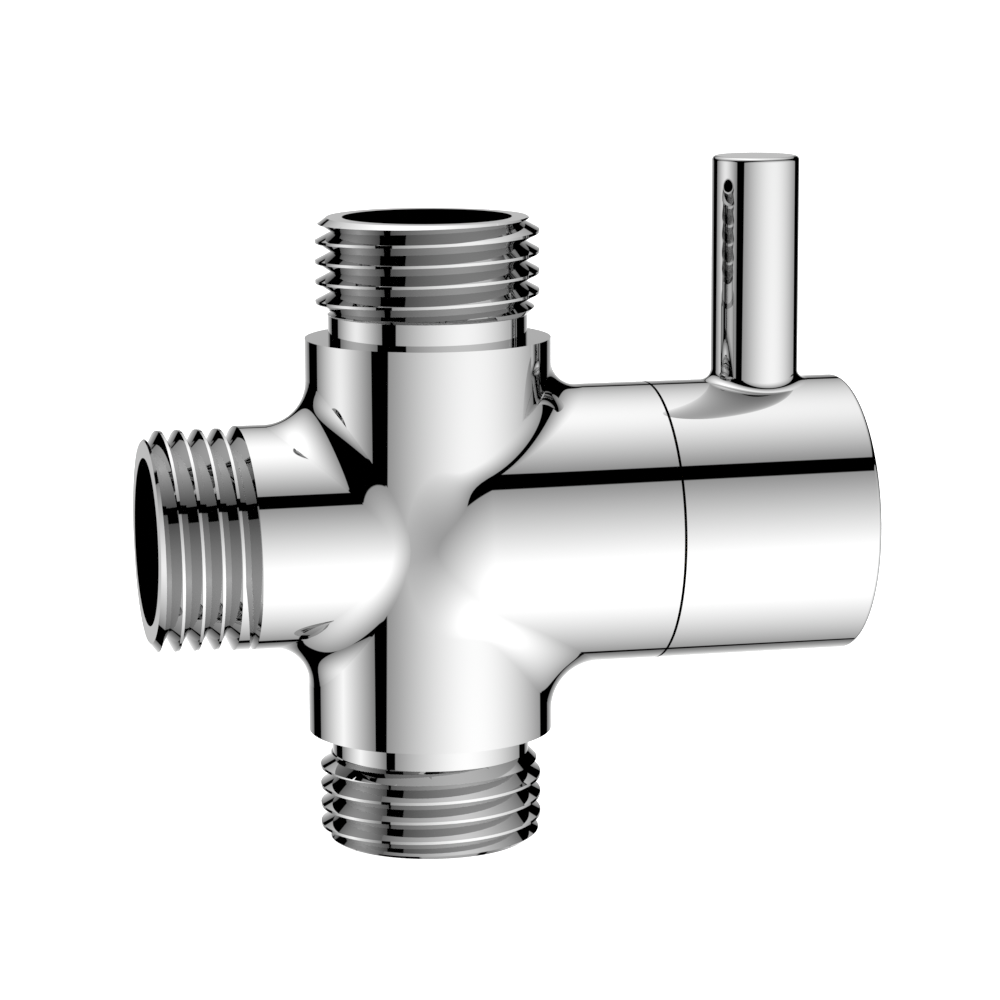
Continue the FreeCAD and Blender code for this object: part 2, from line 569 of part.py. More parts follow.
draw_outline(tongue_slot, [
    ("-Sizes.disc_radius", f"-{slot_half}"),
    ("Sizes.disc_radius", f"-{slot_half}"),
    ("Sizes.disc_radius", slot_half),
    ("-Sizes.disc_radius", slot_half),
])
raise_or_cut(moving_disc, "TongueSlot", tongue_slot, "Sizes.tongue_height", cut=True, backwards=True)

# Disc carrier: a round driver with a tongue for the moving disc and a square pocket for the stem
disc_carrier = new_body("disc_carrier")
turn(disc_carrier, "CarrierDisc", [
    ("Places.moving_face", "0"),
    ("Places.moving_face", "Sizes.carrier_radius"),
    ("Places.carrier_face", "Sizes.carrier_radius"),
    ("Places.carrier_face", "0"),
])
tongue = new_sketch(disc_carrier, "Tongue_outline", "YZ_Plane", "Places.moving_face")
tongue_reach = "(Sizes.carrier_radius * cos(15))"
draw_outline(tongue, [
    (f"-{tongue_reach}", "-Sizes.tongue_width / 2"),
    (tongue_reach, "-Sizes.tongue_width / 2"),
    (tongue_reach, "Sizes.tongue_width / 2"),
    (f"-{tongue_reach}", "Sizes.tongue_width / 2"),
])
raise_or_cut(disc_carrier, "Tongue", tongue, "Sizes.tongue_height - Sizes.slide_gap", backwards=True)


def draw_square(sketch, half):
    """A square about the axis."""
    draw_outline(sketch, [(f"-{half}", f"-{half}"), (half, f"-{half}"), (half, half), (f"-{half}", half)])


square_pocket = new_sketch(disc_carrier, "SquarePocket_outline", "YZ_Plane", "Places.carrier_face")
draw_square(square_pocket, "(Sizes.square_width / 2 + Sizes.slide_gap)")
raise_or_cut(disc_carrier, "SquarePocket", square_pocket, "Sizes.square_depth + Sizes.slide_gap",
             cut=True, backwards=True)

# Stem: square end, flange, shaft with two ring grooves, clip groove and toothed end
stem = new_body("stem")
stem_profile = [("Places.carrier_face", "0"), ("Places.carrier_face", "Sizes.flange_radius"),
                ("Places.flange_face", "Sizes.flange_radius"), ("Places.flange_face", "Sizes.stem_radius")]
for start in ("Places.groove_one", "Places.groove_two"):
    stem_profile += [
        (start, "Sizes.stem_radius"),
        (start, "Sizes.stem_radius - Sizes.groove_depth"),
        (f"{start} + Sizes.groove_width", "Sizes.stem_radius - Sizes.groove_depth"),
        (f"{start} + Sizes.groove_width", "Sizes.stem_radius"),
    ]
stem_profile += [
    ("Sizes.neck_reach", "Sizes.stem_radius"),
    ("Sizes.neck_reach", "Sizes.stem_radius - Sizes.clip_groove_depth"),
    ("Places.clip_end", "Sizes.stem_radius - Sizes.clip_groove_depth"),
    ("Places.clip_end", "Sizes.stem_radius"),
    ("Sizes.stem_reach", "Sizes.stem_radius"),
    ("Sizes.stem_reach", "0"),
]
turn(stem, "StemShaft", stem_profile)
square_end = new_sketch(stem, "SquareEnd_outline", "YZ_Plane", "Places.carrier_face")
draw_square(square_end, "(Sizes.square_width / 2)")
raise_or_cut(stem, "SquareEnd", square_end, "Sizes.square_depth", backwards=True)


def add_teeth(body, name, start, length, cut=False):
    """A row of V notches round the stem (cut), or the V ridges of a bore that fill them."""
    tooth = new_sketch(body, name + "_outline", "YZ_Plane", start)
    root = "Places.tooth_root" if cut else "(Places.tooth_root + Sizes.tooth_gap)"
    # the flanks run twice as far as the teeth are deep, so that they pass the surface
    reach = f"({root} + 2 * Sizes.tooth_depth)"
    half_width = "(2 * Sizes.tooth_share * Sizes.stem_radius * tan(180 / Sizes.tooth_count))"
    draw_outline(tooth, [("0", root), (f"-{half_width}", reach), (half_width, reach)])
    feature = raise_or_cut(body, name, tooth, length, cut=cut)
    return repeat_round(body, name + "_row", feature, "Sizes.tooth_count")


add_teeth(stem, "StemTeeth", "Places.clip_end", "Sizes.stem_reach - Places.clip_end", cut=True)

# Rubber rings on the stem and round the shell


def add_ring(name, place, inner, outer):
    """A round-section rubber ring about the horizontal axis."""
    ring = doc.addObject("Part::Torus", name)
    ring.Label = name
    ring.setExpression("Radius1", f"({inner} + {outer}) / 2")
    ring.setExpression("Radius2", f"({outer} - {inner}) / 2")
    ring.Placement = FreeCAD.Placement(FreeCAD.Vector(), FreeCAD.Rotation(FreeCAD.Vector(0, 1, 0), 90))
    ring.setExpression(".Placement.Base.x", place)
    ring.setExpression(".Placement.Base.z", "Sizes.port_reach")
    return ring


stem_groove = "(Sizes.stem_radius - Sizes.groove_depth + Sizes.slide_gap)"
stem_o_ring_inner = add_ring("stem_o_ring_inner", "Places.groove_one + Sizes.groove_width / 2",
                             stem_groove, "Sizes.stem_radius")
stem_o_ring_outer = add_ring("stem_o_ring_outer", "Places.groove_two + Sizes.groove_width / 2",
                             stem_groove, "Sizes.stem_radius")
body_o_ring = add_ring("body_o_ring", "(Places.ring_start + Places.ring_end) / 2",
                       "(Sizes.pocket_radius - Sizes.slide_gap - Sizes.ring_section)",
                       "(Sizes.pocket_radius - Sizes.slide_gap)")

# Thrust washer between the stem's flange and the shell's roof
thrust_washer = new_body("thrust_washer")
turn(thrust_washer, "ThrustWasher", [
    ("Places.flange_face", "Places.stem_bore"),
    ("Places.flange_face", "Sizes.flange_radius"),
    ("Places.roof_face", "Sizes.flange_radius"),
    ("Places.roof_face", "Places.stem_bore"),
])

# Cartridge shell: bell round the discs, roof, neck, two ribs inside and the end stop on the neck
cartridge_shell = new_body("cartridge_shell")
ring_floor = "Sizes.pocket_radius - Sizes.ring_section - 2 * Sizes.slide_gap"
turn(cartridge_shell, "Shell", [
    ("Places.base_face", "Places.bell_bore"),
    ("Places.base_face", "Sizes.shell_bell_radius"),
    ("Places.ring_start", "Sizes.shell_bell_radius"),
    ("Places.ring_start", ring_floor),
    ("Places.ring_end", ring_floor),
    ("Places.ring_end", "Sizes.shell_bell_radius"),
    ("Sizes.shell_shoulder", "Sizes.shell_bell_radius"),
    ("Sizes.shell_shoulder", "Sizes.shell_top_radius"),
    ("Places.neck_foot", "Sizes.shell_top_radius"),
    ("Places.neck_foot", "Sizes.shell_neck_radius"),
    ("Sizes.neck_reach", "Sizes.shell_neck_radius"),
    ("Sizes.neck_reach", "Places.stem_bore"),
    ("Places.roof_face", "Places.stem_bore"),
    ("Places.roof_face", "Places.carrier_bore"),
    ("Places.bell_end", "Places.carrier_bore"),
    ("Places.bell_end", "Places.bell_bore"),
])
ribs = new_sketch(cartridge_shell, "ShellRibs_outline", "YZ_Plane", "Places.base_face")
for side in ("", "-"):
    draw_outline(ribs, [
        (f"{side}(Places.bell_bore - Sizes.key_height)", "-Sizes.key_width / 2"),
        (f"{side}(Places.bell_bore + Sizes.shell_bell_wall / 2)", "-Sizes.key_width / 2"),
        (f"{side}(Places.bell_bore + Sizes.shell_bell_wall / 2)", "Sizes.key_width / 2"),
        (f"{side}(Places.bell_bore - Sizes.key_height)", "Sizes.key_width / 2"),
    ])
raise_or_cut(cartridge_shell, "ShellRibs", ribs, "Places.disc_face - Sizes.loose_gap - Places.base_face")

# The end stop fills the angle that the washer's tab doesn't sweep. At rest the tab points up, and the
# knob turns its top towards -Y, so the stop's middle lies at +Y.
stop_span = "(360 - Sizes.turn_angle - Sizes.tab_angle - 2 * Sizes.stop_play)"
end_stop = new_sketch(cartridge_shell, "EndStop_outline", "XY_Plane")
draw_outline(end_stop, [
    ("Sizes.neck_reach - Sizes.washer_height", "Places.stop_bore"),
    ("Sizes.neck_reach - Sizes.washer_height", "Sizes.shell_neck_radius"),
    ("Sizes.neck_reach + Sizes.stop_height", "Sizes.shell_neck_radius"),
    ("Sizes.neck_reach + Sizes.stop_height", "Places.stop_bore"),
])
stop_arc = cartridge_shell.newObject("PartDesign::Revolution", "EndStop")
stop_arc.Profile = end_stop
stop_arc.ReferenceAxis = (end_stop, ["H_Axis"])
stop_arc.setExpression("Angle", stop_span)
stop_arc.Midplane = True
require_change(cartridge_shell, stop_arc, 1)

# Retaining nut: threaded ring in the housing's mouth with a hexagon that the knob hides
retaining_nut = new_body("retaining_nut")
turn(retaining_nut, "NutRing", [
    ("Sizes.shell_shoulder", "Places.nut_bore_inside"),
    ("Sizes.shell_shoulder", "Sizes.nut_thread_radius"),
    ("Sizes.housing_reach", "Sizes.nut_thread_radius"),
    ("Sizes.housing_reach", "Places.nut_bore_inside"),
])
nut_hexagon = new_sketch(retaining_nut, "NutHexagon_outline", "YZ_Plane", "Sizes.housing_reach")
draw_outline(nut_hexagon, hexagon("Sizes.nut_flats"))
draw_circle(nut_hexagon, "0", "0", "Places.nut_bore_inside")
raise_or_cut(retaining_nut, "NutHexagon", nut_hexagon, "Sizes.nut_head")

# Stem clip: an open spring ring in the stem's groove, on the end of the neck
stem_clip = new_body("stem_clip")
clip_inner = "(Sizes.stem_radius - Sizes.clip_groove_depth + Sizes.slide_gap)"
turn(stem_clip, "ClipRing", [
    ("Sizes.neck_reach", clip_inner),
    ("Sizes.neck_reach", f"{clip_inner} + Sizes.clip_wall"),
    ("Places.clip_end", f"{clip_inner} + Sizes.clip_wall"),
    ("Places.clip_end", clip_inner),
], span="Sizes.clip_angle", centred=True)

# Stop washer: toothed on the stem, with one tab that swings between the ends of the end stop
stop_washer = new_body("stop_washer")
turn(stop_washer, "WasherRing", [
    ("Places.clip_end", "Places.stem_bore"),
    ("Places.clip_end", "Places.stop_bore - Sizes.slide_gap"),
    ("Places.stop_end", "Places.stop_bore - Sizes.slide_gap"),
    ("Places.stop_end", "Places.stem_bore"),
])
turn(stop_washer, "WasherTab", [
    ("Places.clip_end", "(Sizes.stem_radius + Sizes.slide_gap + Places.stop_bore) / 2"),
    ("Places.clip_end", "Sizes.shell_neck_radius"),
    ("Places.stop_end", "Sizes.shell_neck_radius"),
    ("Places.stop_end", "(Sizes.stem_radius + Sizes.slide_gap + Places.stop_bore) / 2"),
], span="Sizes.tab_angle", centred=True)
add_teeth(stop_washer, "WasherTeeth", "Places.clip_end", "Sizes.stop_washer_height")

# Knob with its lever pin: one hollow casting with a hub, ribs and a boss for the grub screw
handle = new_body("handle")
turn(handle, "Knob", [
    ("Places.skirt_start", "Places.cavity_radius"),
    ("Places.skirt_start", "Sizes.housing_radius"),
    ("Sizes.knob_reach", "Sizes.housing_radius"),
    ("Sizes.knob_reach", "0"),
    ("Places.hub_blind", "0"),
    ("Places.hub_blind", "Places.stem_bore"),
    ("Places.hub_start", "Places.stem_bore"),
    ("Places.hub_start", "Sizes.hub_radius"),
    ("Places.cavity_end", "Sizes.hub_radius"),
    ("Places.cavity_end", "Places.cavity_radius"),
])
pin_sketch = new_sketch(handle, "LeverPin_outline", "XY_Plane", "Sizes.pin_reach")
draw_circle(pin_sketch, "Sizes.pin_distance", "0", "Sizes.pin_radius")
lever_pin = raise_or_cut(handle, "LeverPin", pin_sketch,
                         "Sizes.pin_reach - Sizes.housing_radius + Sizes.pin_root",
                         backwards=True)


def is_pin_foot(edge):
    """The seam between the pin and the knob's outside."""
    faces = faces_beside(lever_pin.Shape, edge)
    on_pin = [face for face in faces if is_turned_on(face, value("Sizes.pin_radius"), Z_AXIS)]
    on_knob = [face for face in faces if is_turned_on(face, value("Sizes.housing_radius"), X_AXIS)]
    return bool(on_pin and on_knob)


pin_foot = round_edges(handle, "PinFillet", lever_pin, edges_where(lever_pin.Shape, is_pin_foot),
                       "Sizes.pin_fillet")


def is_pin_top(edge):
    """The edge of the pin's flat top."""
    box = edge.BoundBox
    return abs(box.ZMin - value("Sizes.pin_reach")) < CLOSE


pin_top = round_edges(handle, "PinEdge", pin_foot, edges_where(pin_foot.Shape, is_pin_top),
                      "Sizes.pin_edge")


def is_knob_end(edge):
    """The edge of the knob's flat end."""
    box = edge.BoundBox
    return abs(box.XMin - value("Sizes.knob_reach")) < CLOSE


round_edges(handle, "KnobEdge", pin_top, edges_where(pin_top.Shape, is_knob_end), "Sizes.knob_edge")
rib_sketch = new_sketch(handle, "KnobRib_outline", "YZ_Plane", "Places.cavity_end")
rib_inside = "(Sizes.hub_radius - Sizes.rib_thickness / 2)"
rib_outside = "(Places.cavity_radius + Sizes.knob_wall / 2)"
draw_outline(rib_sketch, [
    (rib_inside, "-Sizes.rib_thickness / 2"),
    (rib_outside, "-Sizes.rib_thickness / 2"),
    (rib_outside, "Sizes.rib_thickness / 2"),
    (rib_inside, "Sizes.rib_thickness / 2"),
])
knob_rib = raise_or_cut(handle, "KnobRib", rib_sketch, "Sizes.rib_height", backwards=True)
repeat_round(handle, "KnobRib_row", knob_rib, "3", span="180")
boss_sketch = new_sketch(handle, "ScrewBoss_outline", "XY_Plane",
                         "-Sizes.hub_radius + Sizes.rib_thickness / 2")
draw_circle(boss_sketch, "Sizes.pin_distance", "0", "Sizes.boss_radius")
raise_or_cut(handle, "ScrewBoss", boss_sketch,
             "Places.cavity_radius + Sizes.knob_wall / 4 - Sizes.hub_radius + Sizes.rib_thickness / 2",
             backwards=True)
add_teeth(handle, "HubTeeth", "Places.hub_start", "Places.hub_blind - Places.hub_start")
screw_hole = new_sketch(handle, "ScrewHole_outline", "XY_Plane")
draw_circle(screw_hole, "Sizes.pin_distance", "0", "Sizes.screw_radius + Sizes.slide_gap")
raise_or_cut(handle, "ScrewHole", screw_hole, "Sizes.housing_radius", cut=True, backwards=True)

# Grub screw with its point on the stem and its socket towards the hole in the knob's underside
handle_screw = new_body("handle_screw")
handle_screw.setExpression(".Placement.Base.x", "Sizes.pin_distance")
turn(handle_screw, "GrubScrew", [
    ("0", "-Places.screw_tip"),
    ("Sizes.screw_radius / 2", "-Places.screw_tip"),
    ("Sizes.screw_radius", "-Places.screw_tip - Sizes.screw_point"),
    ("Sizes.screw_radius", "-Places.screw_head"),
    ("0", "-Places.screw_head"),
], axis="V_Axis")
socket = new_sketch(handle_screw, "Socket_outline", "XY_Plane", "-Places.screw_head")
draw_outline(socket, hexagon("Sizes.socket_flats"))
raise_or_cut(handle_screw, "Socket", socket, "Sizes.socket_depth", cut=True)

# Every piece must be sound before anything is written
PIECES = [
    valve_body, inlet_seal, upper_outlet_seal, lower_outlet_seal, cartridge_base, disc_seal, fixed_disc,
    moving_disc, disc_carrier, stem, stem_o_ring_inner, stem_o_ring_outer, body_o_ring, thrust_washer,
    cartridge_shell, retaining_nut, stem_clip, stop_washer, handle, handle_screw,
]
doc.recompute()
for item in doc.Objects:
    if "Invalid" in item.State or "Error" in item.State:
        raise RuntimeError(f"{item.Label} failed: {item.State}")
os.makedirs("parts", exist_ok=True)
for piece in PIECES:
    shape = piece.Shape
    if shape.isNull() or not shape.isValid() or len(shape.Solids) != 1:
        raise RuntimeError(f"{piece.Label} is not one sound solid")
for piece in PIECES:
    piece.Shape.exportStep(os.path.join("parts", piece.Label + ".step"))
    print(f"{piece.Label}: {piece.Shape.Volume:.1f} cubic millimetres")
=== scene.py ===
import math

import bpy
import numpy as np
from mathutils import Matrix, Vector
from mathutils.kdtree import KDTree


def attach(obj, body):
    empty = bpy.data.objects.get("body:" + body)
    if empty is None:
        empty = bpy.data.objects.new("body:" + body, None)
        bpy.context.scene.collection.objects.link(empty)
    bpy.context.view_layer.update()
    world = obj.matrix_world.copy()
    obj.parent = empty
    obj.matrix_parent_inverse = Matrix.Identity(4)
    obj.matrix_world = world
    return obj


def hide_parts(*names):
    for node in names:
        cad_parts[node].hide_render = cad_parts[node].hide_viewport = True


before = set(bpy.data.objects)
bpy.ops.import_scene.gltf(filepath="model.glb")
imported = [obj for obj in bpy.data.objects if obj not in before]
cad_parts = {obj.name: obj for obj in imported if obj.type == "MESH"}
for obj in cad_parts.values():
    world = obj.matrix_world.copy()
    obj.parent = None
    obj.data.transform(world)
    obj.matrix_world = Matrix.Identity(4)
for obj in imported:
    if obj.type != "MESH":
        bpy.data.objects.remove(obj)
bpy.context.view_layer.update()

# Camera: a long lens, a little to the left of the valve and looking ten degrees down on it, as the
# photograph was taken. Its place and turns come from the valve's own edges and circles.
camera_yaw = math.radians(-13.601)
camera_pitch = math.radians(-9.761)
camera_roll = math.radians(-0.199)
camera_place = (-0.071376, -0.323489, 0.089238)
camera = bpy.data.objects.new("camera", bpy.data.cameras.new("camera"))
bpy.context.scene.collection.objects.link(camera)
camera.data.sensor_width = 36
camera.data.lens = 128.589
camera.data.clip_start = 0.01
camera.data.clip_end = 20
camera.matrix_world = (
    Matrix.Translation(camera_place)
    @ Matrix.Rotation(camera_yaw, 4, "Z")
    @ Matrix.Rotation(math.pi / 2 + camera_pitch, 4, "X")
    @ Matrix.Rotation(camera_roll, 4, "Z")
)
bpy.context.scene.camera = camera
bpy.context.scene.view_settings.view_transform = "Standard"

# Studio: four round soft lights far round the valve, each brightest in its middle and cut off at its
# edge, with dark gaps between them. Chrome shows them as bright sheets with black bands between.
# Each is (azimuth, elevation, angular radius, level); azimuth 0 is towards -Y and 90 towards +X.
# The levels are as the eye sees them on the chrome, where 1 is white.
studio_lights = {
    "front": (31.1, -38.5, 77.8, 1.14),
    "top": (192.6, 73.2, 56.1, 1.12),
    "left": (-102.6, -12.6, 36.0, 0.98),
    "back": (168.8, -16.5, 32.1, 0.84),
}
light_profile = [(0.0, 0.995), (0.15, 0.938), (0.3, 0.881), (0.45, 0.815), (0.6, 0.743), (0.75, 0.662),
                 (0.9, 0.568), (1.0, 0.5)]
profile_span = 0.8
profile_end = 0.802
chrome_share = 0.495


def to_light(level):
    """The light that chrome needs to reach a level that the eye sees."""
    return ((level + 0.055) / 1.055) ** 2.4 / chrome_share


world = bpy.data.worlds.new("studio")
bpy.context.scene.world = world
world.use_nodes = True
nodes, links = world.node_tree.nodes, world.node_tree.links
background = nodes["Background"]
direction = nodes.new("ShaderNodeTexCoord")
brightest = None
for name, (azimuth, elevation, radius, lightness) in studio_lights.items():
    azimuth, elevation = math.radians(azimuth), math.radians(elevation)
    towards = nodes.new("ShaderNodeVectorMath")
    towards.operation = "DOT_PRODUCT"
    links.new(direction.outputs["Generated"], towards.inputs[0])
    towards.inputs[1].default_value = (
        math.sin(azimuth) * math.cos(elevation),
        -math.cos(azimuth) * math.cos(elevation),
        math.sin(elevation),
    )
    angle = nodes.new("ShaderNodeMath")
    angle.operation = "ARCCOSINE"
    links.new(towards.outputs["Value"], angle.inputs[0])
    share = nodes.new("ShaderNodeMath")
    share.operation = "DIVIDE"
    links.new(angle.outputs[0], share.inputs[0])
    share.inputs[1].default_value = math.radians(radius) / profile_span
    profile = nodes.new("ShaderNodeValToRGB")
    profile.name = name + "_light"
    stops = profile.color_ramp.elements
    stops[0].position = 0
    stops[0].color = (to_light(light_profile[0][1] * lightness),) * 3 + (1,)
    stops[1].position = profile_end
    stops[1].color = (0, 0, 0, 1)
    for place, level in light_profile[1:]:
        stop = stops.new(place * profile_span)
        stop.color = (to_light(level * lightness),) * 3 + (1,)
    links.new(share.outputs[0], profile.inputs[0])
    if brightest is None:
        brightest = profile.outputs["Color"]
    else:
        both = nodes.new("ShaderNodeMix")
        both.data_type = "RGBA"
        both.blend_type = "LIGHTEN"
        both.inputs["Factor"].default_value = 1
        links.new(brightest, both.inputs["A"])
        links.new(profile.outputs["Color"], both.inputs["B"])
        brightest = both.outputs["Result"]
links.new(brightest, background.inputs["Color"])
background.inputs["Strength"].default_value = 1.0

# Floor: one large pale sheet that the lower port stands on. The camera sees it white, it keeps the
# valve's shadow, and the chrome reflects the studio's lights through it.
floor_size = 6.0
floor_level = 0.8
floor_glow = 0.88
floor_mesh = bpy.data.meshes.new("floor")
half = floor_size / 2
floor_mesh.from_pydata([(-half, -half, 0), (half, -half, 0), (half, half, 0), (-half, half, 0)], [],
                       [(0, 1, 2, 3)])
floor = bpy.data.objects.new("floor", floor_mesh)
bpy.context.scene.collection.objects.link(floor)
floor_paint = bpy.data.materials.new("floor_paint")
floor_paint.use_nodes = True
nodes, links = floor_paint.node_tree.nodes, floor_paint.node_tree.links
nodes.clear()
output = nodes.new("ShaderNodeOutputMaterial")
paint = nodes.new("ShaderNodeBsdfDiffuse")
paint.inputs["Color"].default_value = (floor_level,) * 3 + (1,)
path = nodes.new("ShaderNodeLightPath")
seen = nodes.new("ShaderNodeMath")
seen.operation = "MAXIMUM"
links.new(path.outputs["Is Camera Ray"], seen.inputs[0])
links.new(path.outputs["Is Transmission Ray"], seen.inputs[1])
glow = nodes.new("ShaderNodeEmission")
glow.inputs["Color"].default_value = (1, 1, 1, 1)
level = nodes.new("ShaderNodeMath")
level.operation = "MULTIPLY"
links.new(seen.outputs[0], level.inputs[0])
level.inputs[1].default_value = floor_glow
links.new(level.outputs[0], glow.inputs["Strength"])
both = nodes.new("ShaderNodeAddShader")
links.new(paint.outputs[0], both.inputs[0])
links.new(glow.outputs[0], both.inputs[1])
links.new(both.outputs[0], output.inputs["Surface"])
floor_mesh.materials.append(floor_paint)
floor.visible_glossy = False

# Valve body: one brass casting, turned and threaded, then polished and chrome plated. The barrel, the
# inlet branch and the cartridge housing run into each other in rolling fillets.
# Sizes are in millimetres from the crossing of the two axes, and are moved to the frame at the end.
port_reach = 29.5
inlet_reach = 26.77
barrel_radius = 11.5
upper_ledge = 18.24
lower_ledge = 18.97
branch_radius = 10.45
housing_radius = 13.2
shoulder_start = 3.28
shoulder_rounding = 10.6
housing_reach = 21.2
neck_radius = 9.3
neck_length = 2.2
branch_fillet = 4.0
upper_fillet = 3.12
lower_fillet = 4.62
front_fillet = 33.0
upper_front_angle = math.radians(30)
lower_front_angle = math.radians(34)
upper_swell_power = 1.25
lower_swell_power = 1.4
seam_gap = math.radians(0.3)
thread_radius = 10.45
thread_depth = 1.52
thread_crest = 0.26
outlet_pitch = 1.87
upper_crest_height = 24.52
lower_crest_height = 25.3
inlet_pitch = 1.83
inlet_crest_height = 17.08
inlet_crest = 10.28
inlet_plain_end = 16.9
run_out = math.radians(75)
run_out_shares = (0.88, 0.12)
run_out_quicker = 10
crest_fall = 0.125
rim_radius = 9.4
rim_length = 0.8
relief_slope = 1.2
turn_steps = 240
weld_distance = 1.5e-6
port_bore_limit = 7.92
inlet_bore_limit = 7.82
pocket_limit = 11.62
pocket_start = 5.6


def to_frame(points):
    """Millimetres from the crossing to metres in the frame."""
    return (np.asarray(points, float) + (0, 0, port_reach)) * 0.001


def unit(vectors):
    """Vectors of length one."""
    return vectors / np.maximum(np.linalg.norm(vectors, axis=-1, keepdims=True), 1e-12)


class Skin:
    """Patches of one piece with the exact direction that each corner of each face looks in."""

    def __init__(self):
        self.points, self.faces, self.looks = [], [], []
        self.count = 0

    def add_grid(self, points, looks):
        """A grid of four-sided faces; looks are the directions at the grid's points."""
        rows, columns = points.shape[:2]
        index = np.arange(rows * columns).reshape(rows, columns)
        quads = np.stack([index[:-1, :-1], index[1:, :-1], index[1:, 1:], index[:-1, 1:]], -1)
        quads = quads.reshape(-1, 4)
        flat, aim = points.reshape(-1, 3), looks.reshape(-1, 3)
        across = np.cross(flat[quads[:, 2]] - flat[quads[:, 0]], flat[quads[:, 3]] - flat[quads[:, 1]])
        if (across * aim[quads].mean(1)).sum() < 0:
            quads = quads[:, ::-1]
        self.add_faces(flat, quads, aim[quads])

    def add_wall(self, outward, radius, axis, begin, end, steps, centre=(0, 0, 0)):
        """A straight wall round an axis, from one edge along it to another. It gives the far edge."""
        rows = [outward * radius + np.outer(begin + (end - begin) * share, axis) + centre
                for share in np.linspace(0, 1, steps)]
        self.add_grid(np.stack(rows, 1), np.repeat(outward[:, None], steps, 1))
        return rows[-1][:-1]

    def add_rounded_end(self, outward, radius, axis, end, edge, centre=(0, 0, 0)):
        """The rounded edge of a wall and the flat end inside it."""
        axis = np.array(axis, float)
        rows, looks = [], []
        ring = outward * (radius - edge) + axis * (end - edge) + centre
        for lean in np.linspace(0, math.pi / 2, 9):
            look = outward * math.cos(lean) + axis * math.sin(lean)
            rows.append(ring + look * edge)
            looks.append(look)
        self.add_grid(np.stack(rows, 1), np.stack(looks, 1))
        rim = rows[-1][:-1]
        count = len(rim)
        fan = [(corner, (corner + 1) % count, count) for corner in range(count)]
        if np.cross(outward[0], outward[1]) @ axis < 0:
            fan = [(following, corner, middle) for corner, following, middle in fan]
        self.add_faces(np.vstack([rim, axis * end + centre]), fan, [[axis] * 3] * count)

    def add_faces(self, points, faces, looks):
        """Faces with a direction for each corner."""
        self.points.append(np.asarray(points, float))
        for face, aims in zip(faces, looks):
            self.faces.append([int(corner) + self.count for corner in face])
            self.looks.append([tuple(aim) for aim in aims])
        self.count += len(points)

    def add_ribbon(self, first, second, first_place, second_place, look_of):
        """Triangles between two rows of points, each with its place along the ribbon."""
        points = np.concatenate([first, second])
        aims = look_of(points)
        faces = []
        a, b = 0, 0
        while a < len(first) - 1 or b < len(second) - 1:
            takes_first = b == len(second) - 1 or (
                a < len(first) - 1 and first_place[a + 1] <= second_place[b + 1])
            faces.append((a, len(first) + b, a + 1 if takes_first else len(first) + b + 1))
            a, b = a + takes_first, b + (not takes_first)
        faces = np.array(faces)
        corners = points[faces]
        across = np.cross(corners[:, 1] - corners[:, 0], corners[:, 2] - corners[:, 0])
        if (across * aims[faces].sum(1)).sum() < 0:
            faces = faces[:, ::-1]
        self.add_faces(points, faces, aims[faces])

    def add_collar(self, inner, outer, look_of, centre, axis, outer_turn=None):
        """A ring of triangles between two closed rows of points round an axis."""
        axis = np.asarray(axis, float)
        side = unit(outer[0] - centre - ((outer[0] - centre) @ axis) * axis)
        other = np.cross(axis, side)

        def in_order(row):
            """The row from the side onwards, closed, and the turn of each of its points."""
            turn = np.mod(np.arctan2((row - centre) @ other, (row - centre) @ side) + 1e-5, 2 * math.pi)
            order = np.argsort(turn)
            return row[np.append(order, order[0])], np.append(turn[order], turn[order[0]] + 2 * math.pi)
        inner, inner_turn = in_order(inner)
        if outer_turn is None:
            outer, outer_turn = in_order(outer)
        self.add_ribbon(inner, outer, inner_turn, outer_turn, look_of)

    def add_inside(self, node, is_inside):
        """The inner walls of a CAD node, and the closed rows of points where they open."""
        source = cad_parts[node].data
        source.calc_loop_triangles()
        co = np.array([v.co for v in source.vertices], float) * 1000 - (0, 0, port_reach)
        aims = np.array([c.vector for c in source.corner_normals], float)
        tri = np.array([t.vertices for t in source.loop_triangles], int)
        loops = np.array([t.loops for t in source.loop_triangles], int)
        keep = is_inside(co)[tri].all(1)
        tri, loops = tri[keep], loops[keep]
        self.add_faces(co, tri, aims[loops])
        tags = np.round(co, 4)
        _, same = np.unique(tags, axis=0, return_inverse=True)
        same = same.reshape(-1)
        place = {}
        for vertex, group in enumerate(same):
            place.setdefault(int(group), co[vertex])
        edges = {}
        for a, b, c in same[tri]:
            for edge in ((a, b), (b, c), (c, a)):
                key = (min(edge), max(edge))
                edges[key] = edges.get(key, 0) + 1
        beside = {}
        for (a, b), uses in edges.items():
            if uses == 1 and a != b:
                beside.setdefault(int(a), []).append(int(b))
                beside.setdefault(int(b), []).append(int(a))
        rows = []
        left = set(beside)
        while left:
            row = [left.pop()]
            queue = [row[0]]
            while queue:
                for following in beside[queue.pop()]:
                    if following in left:
                        left.discard(following)
                        row.append(following)
                        queue.append(following)
            rows.append(np.array([place[group] for group in row]))
        return rows

